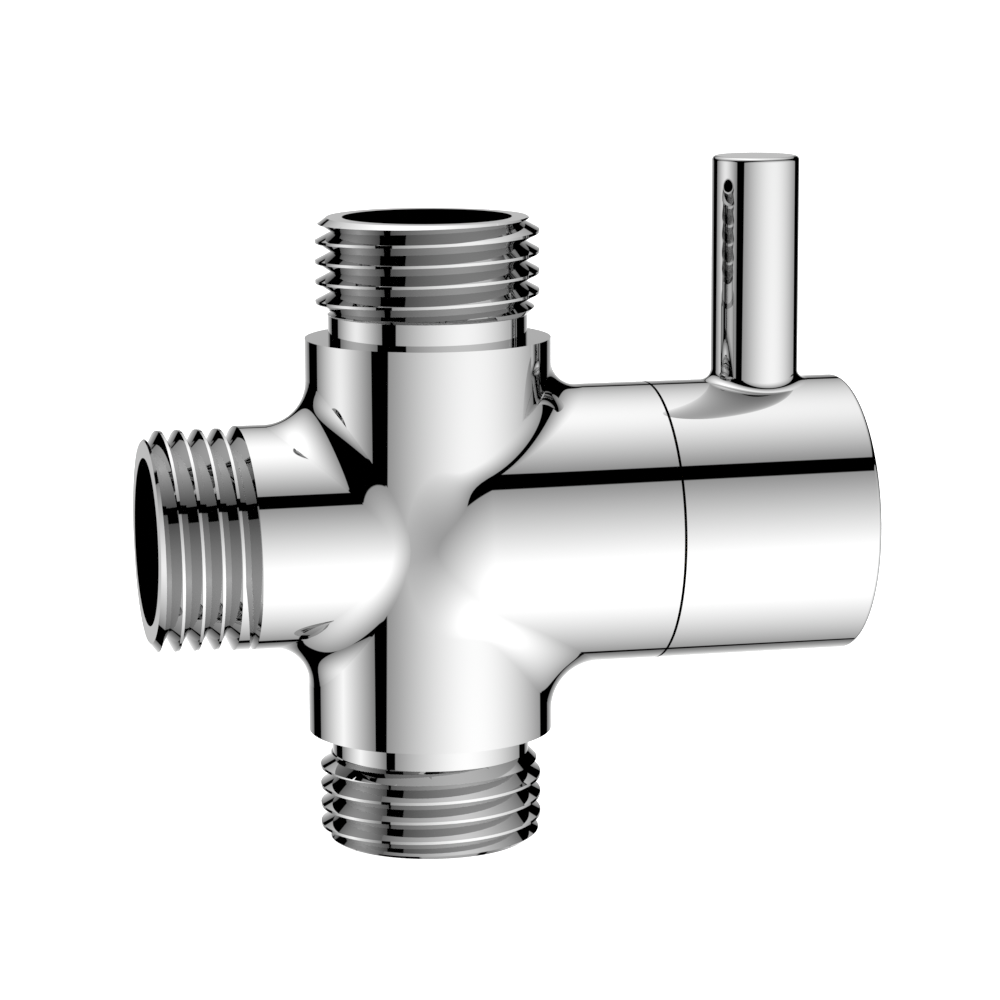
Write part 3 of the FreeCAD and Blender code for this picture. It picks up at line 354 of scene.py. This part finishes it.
    def to_object(self, name):
        """One mesh object with its doubles merged and its directions kept."""
        points = to_frame(np.concatenate(self.points))
        near = KDTree(len(points))
        for number, point in enumerate(points):
            near.insert(point, number)
        near.balance()
        same = [-1] * len(points)
        first = []
        for number, point in enumerate(points):
            if same[number] < 0:
                for _, double, _ in near.find_range(point, weld_distance):
                    if same[double] < 0:
                        same[double] = len(first)
                first.append(number)
        faces, looks = [], []
        for face, aims in zip(self.faces, self.looks):
            corners, kept = [], []
            for corner, aim in zip(face, aims):
                group = same[corner]
                if group not in corners:
                    corners.append(group)
                    kept.append(aim)
            if len(corners) > 2:
                faces.append(corners)
                looks += kept
        mesh = bpy.data.meshes.new(name)
        mesh.from_pydata(points[first].tolist(), [], faces)
        mesh.shade_smooth()
        mesh.normals_split_custom_set([Vector(aim).normalized() for aim in looks])
        made = bpy.data.objects.new(name, mesh)
        bpy.context.scene.collection.objects.link(made)
        return made


def arc_strip(centres, from_points, to_points, steps):
    """Rolling-ball fillet: arcs about each ball centre, and the directions that they look in."""
    start, stop = from_points - centres, to_points - centres
    start_size = np.linalg.norm(start, axis=-1, keepdims=True)
    stop_size = np.linalg.norm(stop, axis=-1, keepdims=True)
    start, stop = unit(start), unit(stop)
    angle = np.arccos(np.clip((start * stop).sum(-1), -1, 1))[..., None]
    rows = []
    for share in np.linspace(0, 1, steps):
        blend = np.where(angle > 1e-6, (np.sin((1 - share) * angle) * start + np.sin(share * angle) * stop)
                         / np.maximum(np.sin(angle), 1e-9), start)
        rows.append(centres + (start_size * (1 - share) + stop_size * share) * blend)
    grid = np.stack(rows, 1)
    along = np.gradient(grid, axis=0)
    along[0] = along[-1] = grid[1] - grid[-2]
    looks = unit(np.cross(along, np.gradient(grid, axis=1)))
    inward = centres[:, None] - grid
    looks *= np.sign((looks * inward).sum(-1, keepdims=True))
    return grid, looks


def add_thread(skin, axis, side, ends, crest_height, pitch, outside, foot_radius):
    """A right-hand V thread along an axis. It starts at a relief, or runs out of the plain wall."""
    axis, side = np.asarray(axis, float), np.asarray(side, float)
    other = np.cross(axis, side)
    start, end = ends
    has_relief = foot_radius is not None
    half_crest = thread_crest / 2
    flank = pitch / 2 - half_crest
    thread_root = outside - thread_depth
    place = [0.0] + [half_crest + flank * part / 4 for part in range(5)]
    place += [pitch - along for along in place[4:0:-1]]
    per_turn = len(place)
    depth = np.array([0, 0, 0.25, 0.5, 0.75, 1, 0.75, 0.5, 0.25, 0, 0])
    first = math.floor((start - crest_height) / pitch) - 2 if has_relief else 0
    last = math.ceil((end - crest_height) / pitch) + 1
    along = np.concatenate([crest_height + pitch * turn + np.array(place) for turn in range(first, last)])
    rises = np.tile(np.sign(-np.diff(depth)), last - first)
    angle = np.linspace(0, 2 * math.pi, turn_steps + 1)[None]
    climb = pitch * angle / (2 * math.pi)
    reach = np.ones((len(along), turn_steps + 1))
    if not has_relief:
        # The groove gets narrower and shallower in its last fifth of a turn, as the tool leaves the wall
        leaving = np.clip(angle / run_out, 0, 1) * run_out_shares[0]
        leaving = leaving + np.clip(angle / (run_out / run_out_quicker), 0, 1) * run_out_shares[1]
        reach[1:per_turn] = leaving
        along = np.where(reach < 1, along[1] + (along[:, None] - along[1]) * reach, along[:, None])
    height = np.minimum(along.reshape(len(reach), -1) + climb, end)
    if has_relief:
        height = np.maximum(height, start)
    profile_place = np.array(place + [pitch])
    full = outside - (outside - thread_root) * np.interp(
        np.mod(height - crest_height - climb, pitch), profile_place, depth)
    if not has_relief:
        # The crest beside the plain wall is that wall, and soon falls to the thread's own
        near = 2 * per_turn
        turned = angle + 2 * math.pi * ((np.arange(near) + 4) // per_turn)[:, None]
        share = np.clip((turned / (2 * math.pi) - 1) / crest_fall, 0, 1)
        crest = branch_radius + (inlet_crest - branch_radius) * share * share * (3 - 2 * share)
        near_depth = np.tile(depth[:per_turn], 2)[:, None] * reach[:near]
        full[:near] = crest - (crest - thread_root) * near_depth
        height, full, rises = height[1:], full[1:], rises[1:]

    def highest(height):
        """The largest radius that the chamfer at each end leaves."""
        cone = rim_radius + (end - height) * (thread_radius - rim_radius) / rim_length
        return np.minimum(cone, foot_radius + height - start) if has_relief else cone

    # A point beside the edge of a chamfer slides to where the thread meets it
    over = full - highest(height)
    moved = height.copy()
    for here, beside in ((slice(0, -1), slice(1, None)), (slice(1, None), slice(0, -1))):
        crosses = (over[here] < -1e-9) & (over[beside] > 1e-9)
        share = over[here] / np.where(crosses, over[here] - over[beside], 1)
        met = height[here] + share * (height[beside] - height[here])
        moved[beside] = np.where(crosses, met, moved[beside])
    radius = np.where(moved == height, np.minimum(full, highest(height)), highest(moved))
    height = moved
    if has_relief:
        radius = np.maximum(radius, foot_radius - relief_slope * (height - start))
    around = np.cos(angle)[0, :, None] * side + np.sin(angle)[0, :, None] * other
    points = radius[..., None] * around + height[..., None] * axis
    rows, columns = radius.shape
    index = np.arange(rows * columns).reshape(rows, columns)
    quads = np.stack([index[:-1, :-1], index[:-1, 1:], index[1:, 1:], index[1:, :-1]], -1)
    quads = quads.reshape(-1, 4)
    flat_height, flat_radius = height.reshape(-1), radius.reshape(-1)
    steep = np.repeat((outside - thread_root) / flank * rises[:rows - 1], columns - 1)
    real = np.ptp(flat_height[quads], axis=1) > 1e-6
    quads = quads[real]
    steep = np.repeat(steep[real, None], 4, 1)
    outward = np.tile(around, (rows, 1))[quads]
    ahead = np.cross(axis, outward)
    twist = steep * pitch / (2 * math.pi) / flat_radius[quads]
    looks = outward - steep[..., None] * axis + twist[..., None] * ahead
    middle = flat_height[quads].mean(1)
    on_edge = np.abs(flat_radius - highest(flat_height))[quads].max(1) < 1e-6
    at_rim = on_edge & (middle > (start + end) / 2)
    at_foot = on_edge & (middle < (start + end) / 2) & has_relief
    looks[at_rim] = outward[at_rim] + (thread_radius - rim_radius) / rim_length * axis
    looks[at_foot] = outward[at_foot] - axis
    skin.add_faces(points.reshape(-1, 3), quads, unit(looks))
    foot = points[0]
    if not has_relief:
        foot = np.concatenate([foot, points[per_turn - 1:0:-1, 0], points[:1, 0]])
    return foot, points[-1, :-1]


branch_fillet_rows = 17
housing_fillet_rows = 25
shoulder_rows = 25
steepest_lean = 1.35
halvings = 40
body = Skin()
ring = np.linspace(0, 2 * math.pi, turn_steps + 1)
quarter_steps = turn_steps // 4
half_steps = turn_steps // 2

# the fillet round the inlet branch
ball = branch_radius + branch_fillet
ball_y, ball_z = -ball * np.cos(ring), ball * np.sin(ring)
ball_x = -np.sqrt((barrel_radius + branch_fillet) ** 2 - ball_y ** 2)
shrink = branch_radius / ball
branch_side = np.stack([ball_x, ball_y * shrink, ball_z * shrink], -1)
shrink = barrel_radius / (barrel_radius + branch_fillet)
left_seam = np.stack([ball_x * shrink, ball_y * shrink, ball_z], -1)
body.add_grid(*arc_strip(np.stack([ball_x, ball_y, ball_z], -1), left_seam, branch_side,
                          branch_fillet_rows))

# the fillet round the housing, wider in front and behind, where the shoulder is flat to the barrel
from_front = np.arccos(np.abs(np.cos(ring)))
is_above = np.sin(ring) > 0
front_angle = np.where(is_above, upper_front_angle, lower_front_angle)
side_fillet = np.where(is_above, upper_fillet, lower_fillet)
swell = np.where(from_front < front_angle, 0.5 + 0.5 * np.cos(math.pi * from_front / front_angle), 0)
swell = swell ** np.where(is_above, upper_swell_power, lower_swell_power)
fillet = side_fillet + (front_fillet - side_fillet) * swell
deep = barrel_radius + fillet
flat = housing_radius - shoulder_rounding
round_centre = shoulder_rounding + fillet


def ball_place(lean):
    """Place along the housing and distance from its axis of a ball that rolls on the shoulder."""
    return shoulder_start - round_centre * np.sin(lean), flat + round_centre * np.cos(lean)


low, high = np.zeros(len(ring)), np.full(len(ring), steepest_lean)
for _ in range(halvings):
    lean = (low + high) / 2
    along, reach = ball_place(lean)
    too_far = along ** 2 + (reach * np.cos(ring)) ** 2 > deep ** 2
    low, high = np.where(too_far, lean, low), np.where(too_far, high, lean)
along, reach = ball_place(lean)
is_tube = lean < 1e-6
reach = np.where(is_tube, housing_radius + fillet, reach)
straight = np.sqrt(np.maximum(deep ** 2 - (reach * np.cos(ring)) ** 2, 0))
ball_x = np.where(is_tube, straight, along)
lean = np.where(is_tube, 0, lean)
centres = np.stack([ball_x, -reach * np.cos(ring), reach * np.sin(ring)], -1)
shrink = (barrel_radius / deep)[:, None]
right_seam = centres * np.concatenate([shrink, shrink, np.ones_like(shrink)], 1)

# in front and behind, the two fillets meet, and the housing's one stops just short of the other
left_quarter = left_seam[:quarter_steps + 1]
left_turn = np.interp(np.abs(right_seam[:, 2]), left_quarter[:, 2],
                      np.arctan2(-left_quarter[:, 1], left_quarter[:, 0]))
right_turn = np.minimum(np.arctan2(np.abs(right_seam[:, 1]), right_seam[:, 0]), left_turn - seam_gap)
right_seam[:, 0] = barrel_radius * np.cos(right_turn)
right_seam[:, 1] = barrel_radius * np.sin(right_turn) * np.where(np.cos(ring) > 0, -1, 1)
housing_out = reach - fillet * np.cos(lean)
housing_side = np.stack([ball_x + fillet * np.sin(lean), -housing_out * np.cos(ring),
                         housing_out * np.sin(ring)], -1)
body.add_grid(*arc_strip(centres, right_seam, housing_side, housing_fillet_rows))

# between the two seams in front and behind, a ribbon of the barrel's wall
left_part, right_part = 14, 5


def barrel_look(points):
    """Straight out from the barrel's axis."""
    return unit(points * (1, 1, 0))


def branch_look(points):
    """Straight out from the branch's axis."""
    return unit(points * (0, 1, 1))


def flat_look(way):
    """The look of a flat face: one way at all of its points."""
    return lambda points: np.tile(way, (len(points), 1))


for middle in (0, half_steps):
    first = left_seam[np.arange(middle - left_part, middle + left_part + 1) % turn_steps]
    second = right_seam[np.arange(middle - right_part, middle + right_part + 1) % turn_steps]
    rising = 1 if middle == 0 else -1
    body.add_ribbon(first, second, first[:, 2] * rising, second[:, 2] * rising, barrel_look)

# the barrel above and below, in columns that meet both seams
ledge_edges = []
for edge, sign, begin in ((upper_ledge, 1, 0), (lower_ledge, -1, half_steps)):
    stop = begin + half_steps + 1
    seam = np.concatenate([left_seam[begin + left_part:stop - left_part],
                           right_seam[begin + right_part:stop - right_part]])
    turned = np.arctan2(seam[:, 1], seam[:, 0])
    order = np.argsort(turned)
    order = np.append(order, order[0])
    wall = barrel_look(seam[order])
    ledge_edges.append(body.add_wall(wall, barrel_radius, (0, 0, 1), seam[order, 2], sign * edge, steps=9))

# the branch and the housing, in columns that follow their fillets
around = np.stack([np.zeros(turn_steps + 1), -np.cos(ring), np.sin(ring)], -1)
branch_mouth = body.add_wall(around, branch_radius, (1, 0, 0), branch_side[:, 0], -inlet_plain_end, steps=5)
rows, looks = [], []
shoulder_place = np.maximum(housing_side[:, 0], shoulder_start) * is_tube + shoulder_start * ~is_tube
for share in np.linspace(1, 0, shoulder_rows):
    look = np.outer(-np.sin(lean * share), (1, 0, 0)) + around * np.cos(lean * share)[:, None]
    rows.append(look * shoulder_rounding + around * flat + np.outer(shoulder_place, (1, 0, 0)))
    looks.append(look)
body.add_grid(np.stack(rows, 1), np.stack(looks, 1))
begin = np.where(is_tube, housing_side[:, 0], shoulder_start)
housing_mouth = body.add_wall(around, housing_radius, (1, 0, 0), begin, housing_reach, steps=5)

# ledges, necks and threads
port_rims = []
for sign, ledge, ledge_edge, crest_height in (
        (1, upper_ledge, ledge_edges[0], upper_crest_height),
        (-1, lower_ledge, ledge_edges[1], lower_crest_height)):
    up = np.array((0, 0, float(sign)))
    start = ledge + neck_length
    side = np.array((1.0, 0, 0))
    turn = np.linspace(0, 2 * math.pi, turn_steps + 1)
    wall_way = np.cos(turn)[:, None] * side + np.sin(turn)[:, None] * np.cross(up, side)
    neck = np.stack([wall_way * neck_radius + up * ledge, wall_way * neck_radius + up * start], 1)
    body.add_grid(neck, np.repeat(wall_way[:, None], 2, 1))
    body.add_collar(neck[:-1, 0], ledge_edge, flat_look(up), up * ledge, up)
    _, rim = add_thread(body, up, side, (start, port_reach), crest_height, outlet_pitch, thread_radius,
                        neck_radius)
    port_rims.append(rim)
inlet_way = np.array((-1.0, 0, 0))
inlet_foot, inlet_rim = add_thread(body, inlet_way, (0, 0, -1.0), (inlet_plain_end, inlet_reach),
                                   inlet_crest_height, inlet_pitch, inlet_crest, None)
inlet_foot_turn = np.minimum(np.arange(len(inlet_foot)) / turn_steps, 1) * 2 * math.pi
body.add_collar(branch_mouth, inlet_foot, branch_look, (-inlet_plain_end, 0, 0), inlet_way,
                inlet_foot_turn)


def is_inside_body(co):
    """Whether points lie on the waterways, in the cartridge pocket or in the seat's holes."""
    from_barrel_axis = np.hypot(co[:, 0], co[:, 1])
    from_branch_axis = np.hypot(co[:, 1], co[:, 2])
    in_ports = from_barrel_axis < port_bore_limit
    in_inlet = (from_branch_axis < inlet_bore_limit) & (co[:, 0] < 0)
    in_pocket = (co[:, 0] > pocket_start) & (from_branch_axis < pocket_limit)
    return in_ports | in_inlet | in_pocket


# each opening is closed to the port's or the housing's rim that lies round it
near_ports = 20
for row in body.add_inside("valve_body", is_inside_body):
    if row[:, 2].mean() > near_ports:
        mouth, way = port_rims[0], (0, 0, 1)
    elif row[:, 2].mean() < -near_ports:
        mouth, way = port_rims[1], (0, 0, -1)
    elif row[:, 0].mean() < -near_ports:
        mouth, way = inlet_rim, (-1, 0, 0)
    else:
        mouth, way = housing_mouth, (1, 0, 0)
    body.add_collar(row, mouth, flat_look(way), mouth.mean(0), way)

valve_casting = body.to_object("valve_casting")


def new_finish(name, colour, metal, roughness):
    """A material with one shader; its plain values are set on the shader's own sockets."""
    finish = bpy.data.materials.new(name)
    finish.use_nodes = True
    shader = finish.node_tree.nodes["Principled BSDF"]
    shader.inputs["Base Color"].default_value = tuple(colour) + (1,)
    shader.inputs["Metallic"].default_value = metal
    shader.inputs["Roughness"].default_value = roughness
    return finish, shader


def add_grain(finish, socket, low, high, grains_per_metre, detail=2.0):
    """A soft noise in the piece's own coordinates that moves a value or colour between two ends."""
    nodes, links = finish.node_tree.nodes, finish.node_tree.links
    place = nodes.new("ShaderNodeTexCoord")
    noise = nodes.new("ShaderNodeTexNoise")
    noise.inputs["Scale"].default_value = grains_per_metre
    noise.inputs["Detail"].default_value = detail
    links.new(place.outputs["Object"], noise.inputs["Vector"])
    if isinstance(low, tuple):
        blend = nodes.new("ShaderNodeValToRGB")
        blend.color_ramp.elements[0].position = 0.35
        blend.color_ramp.elements[0].color = low + (1,)
        blend.color_ramp.elements[1].position = 0.65
        blend.color_ramp.elements[1].color = high + (1,)
        links.new(noise.outputs["Fac"], blend.inputs["Fac"])
        links.new(blend.outputs["Color"], socket)
    else:
        blend = nodes.new("ShaderNodeMapRange")
        blend.inputs["From Min"].default_value = 0.3
        blend.inputs["From Max"].default_value = 0.7
        blend.inputs["To Min"].default_value = low
        blend.inputs["To Max"].default_value = high
        links.new(noise.outputs["Fac"], blend.inputs["Value"])
        links.new(blend.outputs["Result"], socket)
    return noise.outputs["Fac"]


# polished plating, with the faint unevenness that polishing leaves in its gloss
chrome, plate = new_finish("polished_chrome", (chrome_share,) * 3, 1, 0.015)
add_grain(chrome, plate.inputs["Roughness"], 0.011, 0.019, 450.0)
valve_casting.data.materials.append(chrome)
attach(valve_casting, "valve")
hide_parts("valve_body")

# Ceramic discs: two lapped discs of hard white ceramic, one held by the shell's ribs and one turned by
# the carrier. They are pressed face to face, and a rubber gasket lies under the fixed one.


def dress(piece, finish):
    """Give a CAD node its finish."""
    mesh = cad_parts[piece].data
    mesh.materials.clear()
    mesh.materials.append(finish)


def add_bump(finish, shader, height, depth):
    """Raise the surface by a pattern, with its depth in metres."""
    bump = finish.node_tree.nodes.new("ShaderNodeBump")
    bump.inputs["Distance"].default_value = depth
    finish.node_tree.links.new(height, bump.inputs["Height"])
    finish.node_tree.links.new(bump.outputs["Normal"], shader.inputs["Normal"])


ceramic, shader = new_finish("lapped_ceramic", (0.93, 0.92, 0.89), 0, 0.15)
shader.inputs["Specular IOR Level"].default_value = 0.7
add_grain(ceramic, shader.inputs["Base Color"], (0.9, 0.89, 0.86), (0.94, 0.93, 0.905), 1900.0, 4.0)
add_grain(ceramic, shader.inputs["Roughness"], 0.1, 0.2, 900.0)
for piece in ("fixed_disc", "moving_disc"):
    dress(piece, ceramic)

# Cartridge mouldings: shell, base and disc carrier, injection moulded in dark acetal. The base closes
# the shell's open end, and the carrier turns inside the shell with the stem.
acetal, shader = new_finish("moulded_acetal", (0.11, 0.12, 0.14), 0, 0.42)
add_grain(acetal, shader.inputs["Base Color"], (0.1, 0.11, 0.13), (0.125, 0.135, 0.155), 260.0)
add_grain(acetal, shader.inputs["Roughness"], 0.36, 0.5, 700.0)
add_bump(acetal, shader, add_grain(acetal, shader.inputs["Coat Weight"], 0.0, 0.06, 5200.0, 3.0), 0.000012)
for piece in ("cartridge_base", "disc_carrier", "cartridge_shell"):
    dress(piece, acetal)

# Thrust washer: a slippery white plastic ring, moulded and laid between the stem's flange and the
# shell's roof, so that the stem turns easily there.
slippery, shader = new_finish("slippery_plastic", (0.9, 0.9, 0.87), 0, 0.48)
add_grain(slippery, shader.inputs["Base Color"], (0.87, 0.87, 0.84), (0.92, 0.92, 0.9), 600.0)
add_grain(slippery, shader.inputs["Roughness"], 0.42, 0.56, 1500.0)
dress("thrust_washer", slippery)

# Stem and retaining nut: turned from brass bar on a lathe and left bare, with the fine rings that the
# tool leaves. The stem's teeth carry the knob, and the nut holds the cartridge in its pocket.
brass, shader = new_finish("turned_brass", (0.78, 0.62, 0.32), 1, 0.22)
nodes, links = brass.node_tree.nodes, brass.node_tree.links
add_grain(brass, shader.inputs["Base Color"], (0.73, 0.56, 0.27), (0.82, 0.66, 0.36), 320.0, 3.0)
add_grain(brass, shader.inputs["Roughness"], 0.17, 0.3, 1100.0)
place = nodes.new("ShaderNodeTexCoord")
on_axis = nodes.new("ShaderNodeMapping")
on_axis.inputs["Location"].default_value = (0, 0, -port_reach * 0.001)
links.new(place.outputs["Object"], on_axis.inputs["Vector"])
tool_marks = []
for kind in ("BANDS", "RINGS"):
    wave = nodes.new("ShaderNodeTexWave")
    wave.wave_type = kind
    wave.bands_direction = "X"
    wave.rings_direction = "X"
    wave.inputs["Scale"].default_value = 1600.0
    wave.inputs["Distortion"].default_value = 0.6
    links.new(on_axis.outputs["Vector"], wave.inputs["Vector"])
    tool_marks.append(wave.outputs["Fac"])
both = nodes.new("ShaderNodeMath")
both.operation = "ADD"
links.new(tool_marks[0], both.inputs[0])
links.new(tool_marks[1], both.inputs[1])
add_bump(brass, shader, both.outputs["Value"], 0.000004)
for piece in ("stem", "retaining_nut"):
    dress(piece, brass)

# Seals: black rubber rings and a gasket, moulded with a slightly matt skin and pressed into their
# grooves and recesses.
rubber, shader = new_finish("seal_rubber", (0.025, 0.025, 0.026), 0, 0.6)
add_grain(rubber, shader.inputs["Base Color"], (0.018, 0.018, 0.019), (0.034, 0.034, 0.036), 800.0)
add_bump(rubber, shader, add_grain(rubber, shader.inputs["Roughness"], 0.5, 0.72, 3200.0, 3.0), 0.00001)
for piece in ("disc_seal", "stem_o_ring_inner", "stem_o_ring_outer", "body_o_ring", "inlet_seal",
              "upper_outlet_seal", "lower_outlet_seal"):
    dress(piece, rubber)

# Stem clip and stop washer: stamped from plain steel sheet and tumbled. The clip is sprung into the
# stem's groove, and the washer slid over its teeth. The knob's grub screw is of the same steel.
steel, shader = new_finish("plain_steel", (0.52, 0.52, 0.53), 1, 0.3)
add_grain(steel, shader.inputs["Base Color"], (0.46, 0.46, 0.47), (0.57, 0.57, 0.585), 500.0, 4.0)
add_bump(steel, shader, add_grain(steel, shader.inputs["Roughness"], 0.24, 0.4, 2600.0, 4.0), 0.000006)
for piece in ("stem_clip", "stop_washer", "handle_screw"):
    dress(piece, steel)

# Knob with its lever pin: one hollow metal casting, polished and chrome plated, that caps the housing.
# Its hub slides on the stem's teeth, and a hole in its underside lets a key reach the grub screw.
knob_start = 21.45
knob_reach = 40.44
knob_edge = 0.45
pin_distance = 31.9
pin_radius = 4.14
pin_reach = 34.5
pin_edge = 0.42
pin_fillet = 1.0
screw_hole = 2.55
screw_hole_edge = 2.65
foot_steps = 120
hole_steps = 48
plain_columns = 180
cavity_limit = 11.01
cavity_end = 38.1
middle_of_knob = 25
pin_fillet_rows = 13
knob = Skin()
foot_turn = np.linspace(0, 2 * math.pi, foot_steps + 1)
outward = np.stack([np.cos(foot_turn), np.sin(foot_turn), np.zeros(foot_steps + 1)], -1)
ball = pin_radius + pin_fillet
centres = outward * ball + (pin_distance, 0, 0)
centres[:, 2] = np.sqrt((housing_radius + pin_fillet) ** 2 - centres[:, 1] ** 2)
pin_side = outward * pin_radius + (pin_distance, 0, 0)
pin_side[:, 2] = centres[:, 2]
shrink = housing_radius / (housing_radius + pin_fillet)
knob_seam = centres * (1, shrink, shrink)
knob.add_grid(*arc_strip(centres, knob_seam, pin_side, pin_fillet_rows))
pin_axis, pin_centre = (0, 0, 1), (pin_distance, 0, 0)
knob.add_wall(outward, pin_radius, pin_axis, pin_side[:, 2], pin_reach - pin_edge, 5, pin_centre)
knob.add_rounded_end(outward, pin_radius, pin_axis, pin_reach, pin_edge, pin_centre)

# the knob's outside, in columns that meet the pin's foot and the screw hole
columns = [(math.atan2(y, z), x) for x, y, z in knob_seam]
hole_turn = np.linspace(0, 2 * math.pi, hole_steps + 1)
hole = np.stack([pin_distance + screw_hole_edge * np.cos(hole_turn), screw_hole_edge * np.sin(hole_turn),
                 -np.sqrt(housing_radius ** 2 - (screw_hole_edge * np.sin(hole_turn)) ** 2)], -1)
columns += [(math.atan2(y, z), x) for x, y, z in hole]
plain = np.linspace(-math.pi, math.pi, plain_columns + 1)
pin_half = max(abs(turned) for turned, _ in columns[:foot_steps + 1])
hole_half = math.asin(screw_hole_edge / housing_radius)
columns += [(turned, pin_distance) for turned in plain if pin_half < abs(turned) < math.pi - hole_half]
spans = {}
for turned, x in columns:
    turned = round(turned if turned > -math.pi + 1e-9 else math.pi, 7)
    spans.setdefault(turned, []).append(x)
turned = np.array(sorted(spans))
low = np.array([min(spans[t]) for t in sorted(spans)])
high = np.array([max(spans[t]) for t in sorted(spans)])
turned = np.append(turned, turned[0] + 2 * math.pi)
low, high = np.append(low, low[0]), np.append(high, high[0])
around = np.stack([np.zeros(len(turned)), np.sin(turned), np.cos(turned)], -1)
skirt_end = knob.add_wall(around, housing_radius, (1, 0, 0), low, knob_start, steps=7)
knob.add_wall(around, housing_radius, (1, 0, 0), high, knob_reach - knob_edge, steps=7)
knob.add_rounded_end(around, housing_radius, (1, 0, 0), knob_reach, knob_edge)


def is_inside_knob(co):
    """Whether points lie in the knob's cavity, on its hub and ribs, or on the screw hole's wall."""
    from_axis = np.hypot(co[:, 1], co[:, 2])
    in_cavity = (from_axis < cavity_limit) & (co[:, 0] < cavity_end)
    in_hole = (np.hypot(co[:, 0] - pin_distance, co[:, 1]) < screw_hole + 0.01) & (co[:, 2] < 0)
    return in_cavity | in_hole


for row in knob.add_inside("handle", is_inside_knob):
    if row[:, 0].mean() < middle_of_knob:
        mouth, way = skirt_end, (-1, 0, 0)
    else:
        mouth, way = hole[:-1], (0, 0, -1)
    knob.add_collar(row, mouth, flat_look(way), mouth.mean(0), way)
lever_knob = knob.to_object("lever_knob")
lever_knob.data.materials.append(chrome)
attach(lever_knob, "knob")
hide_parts("handle")
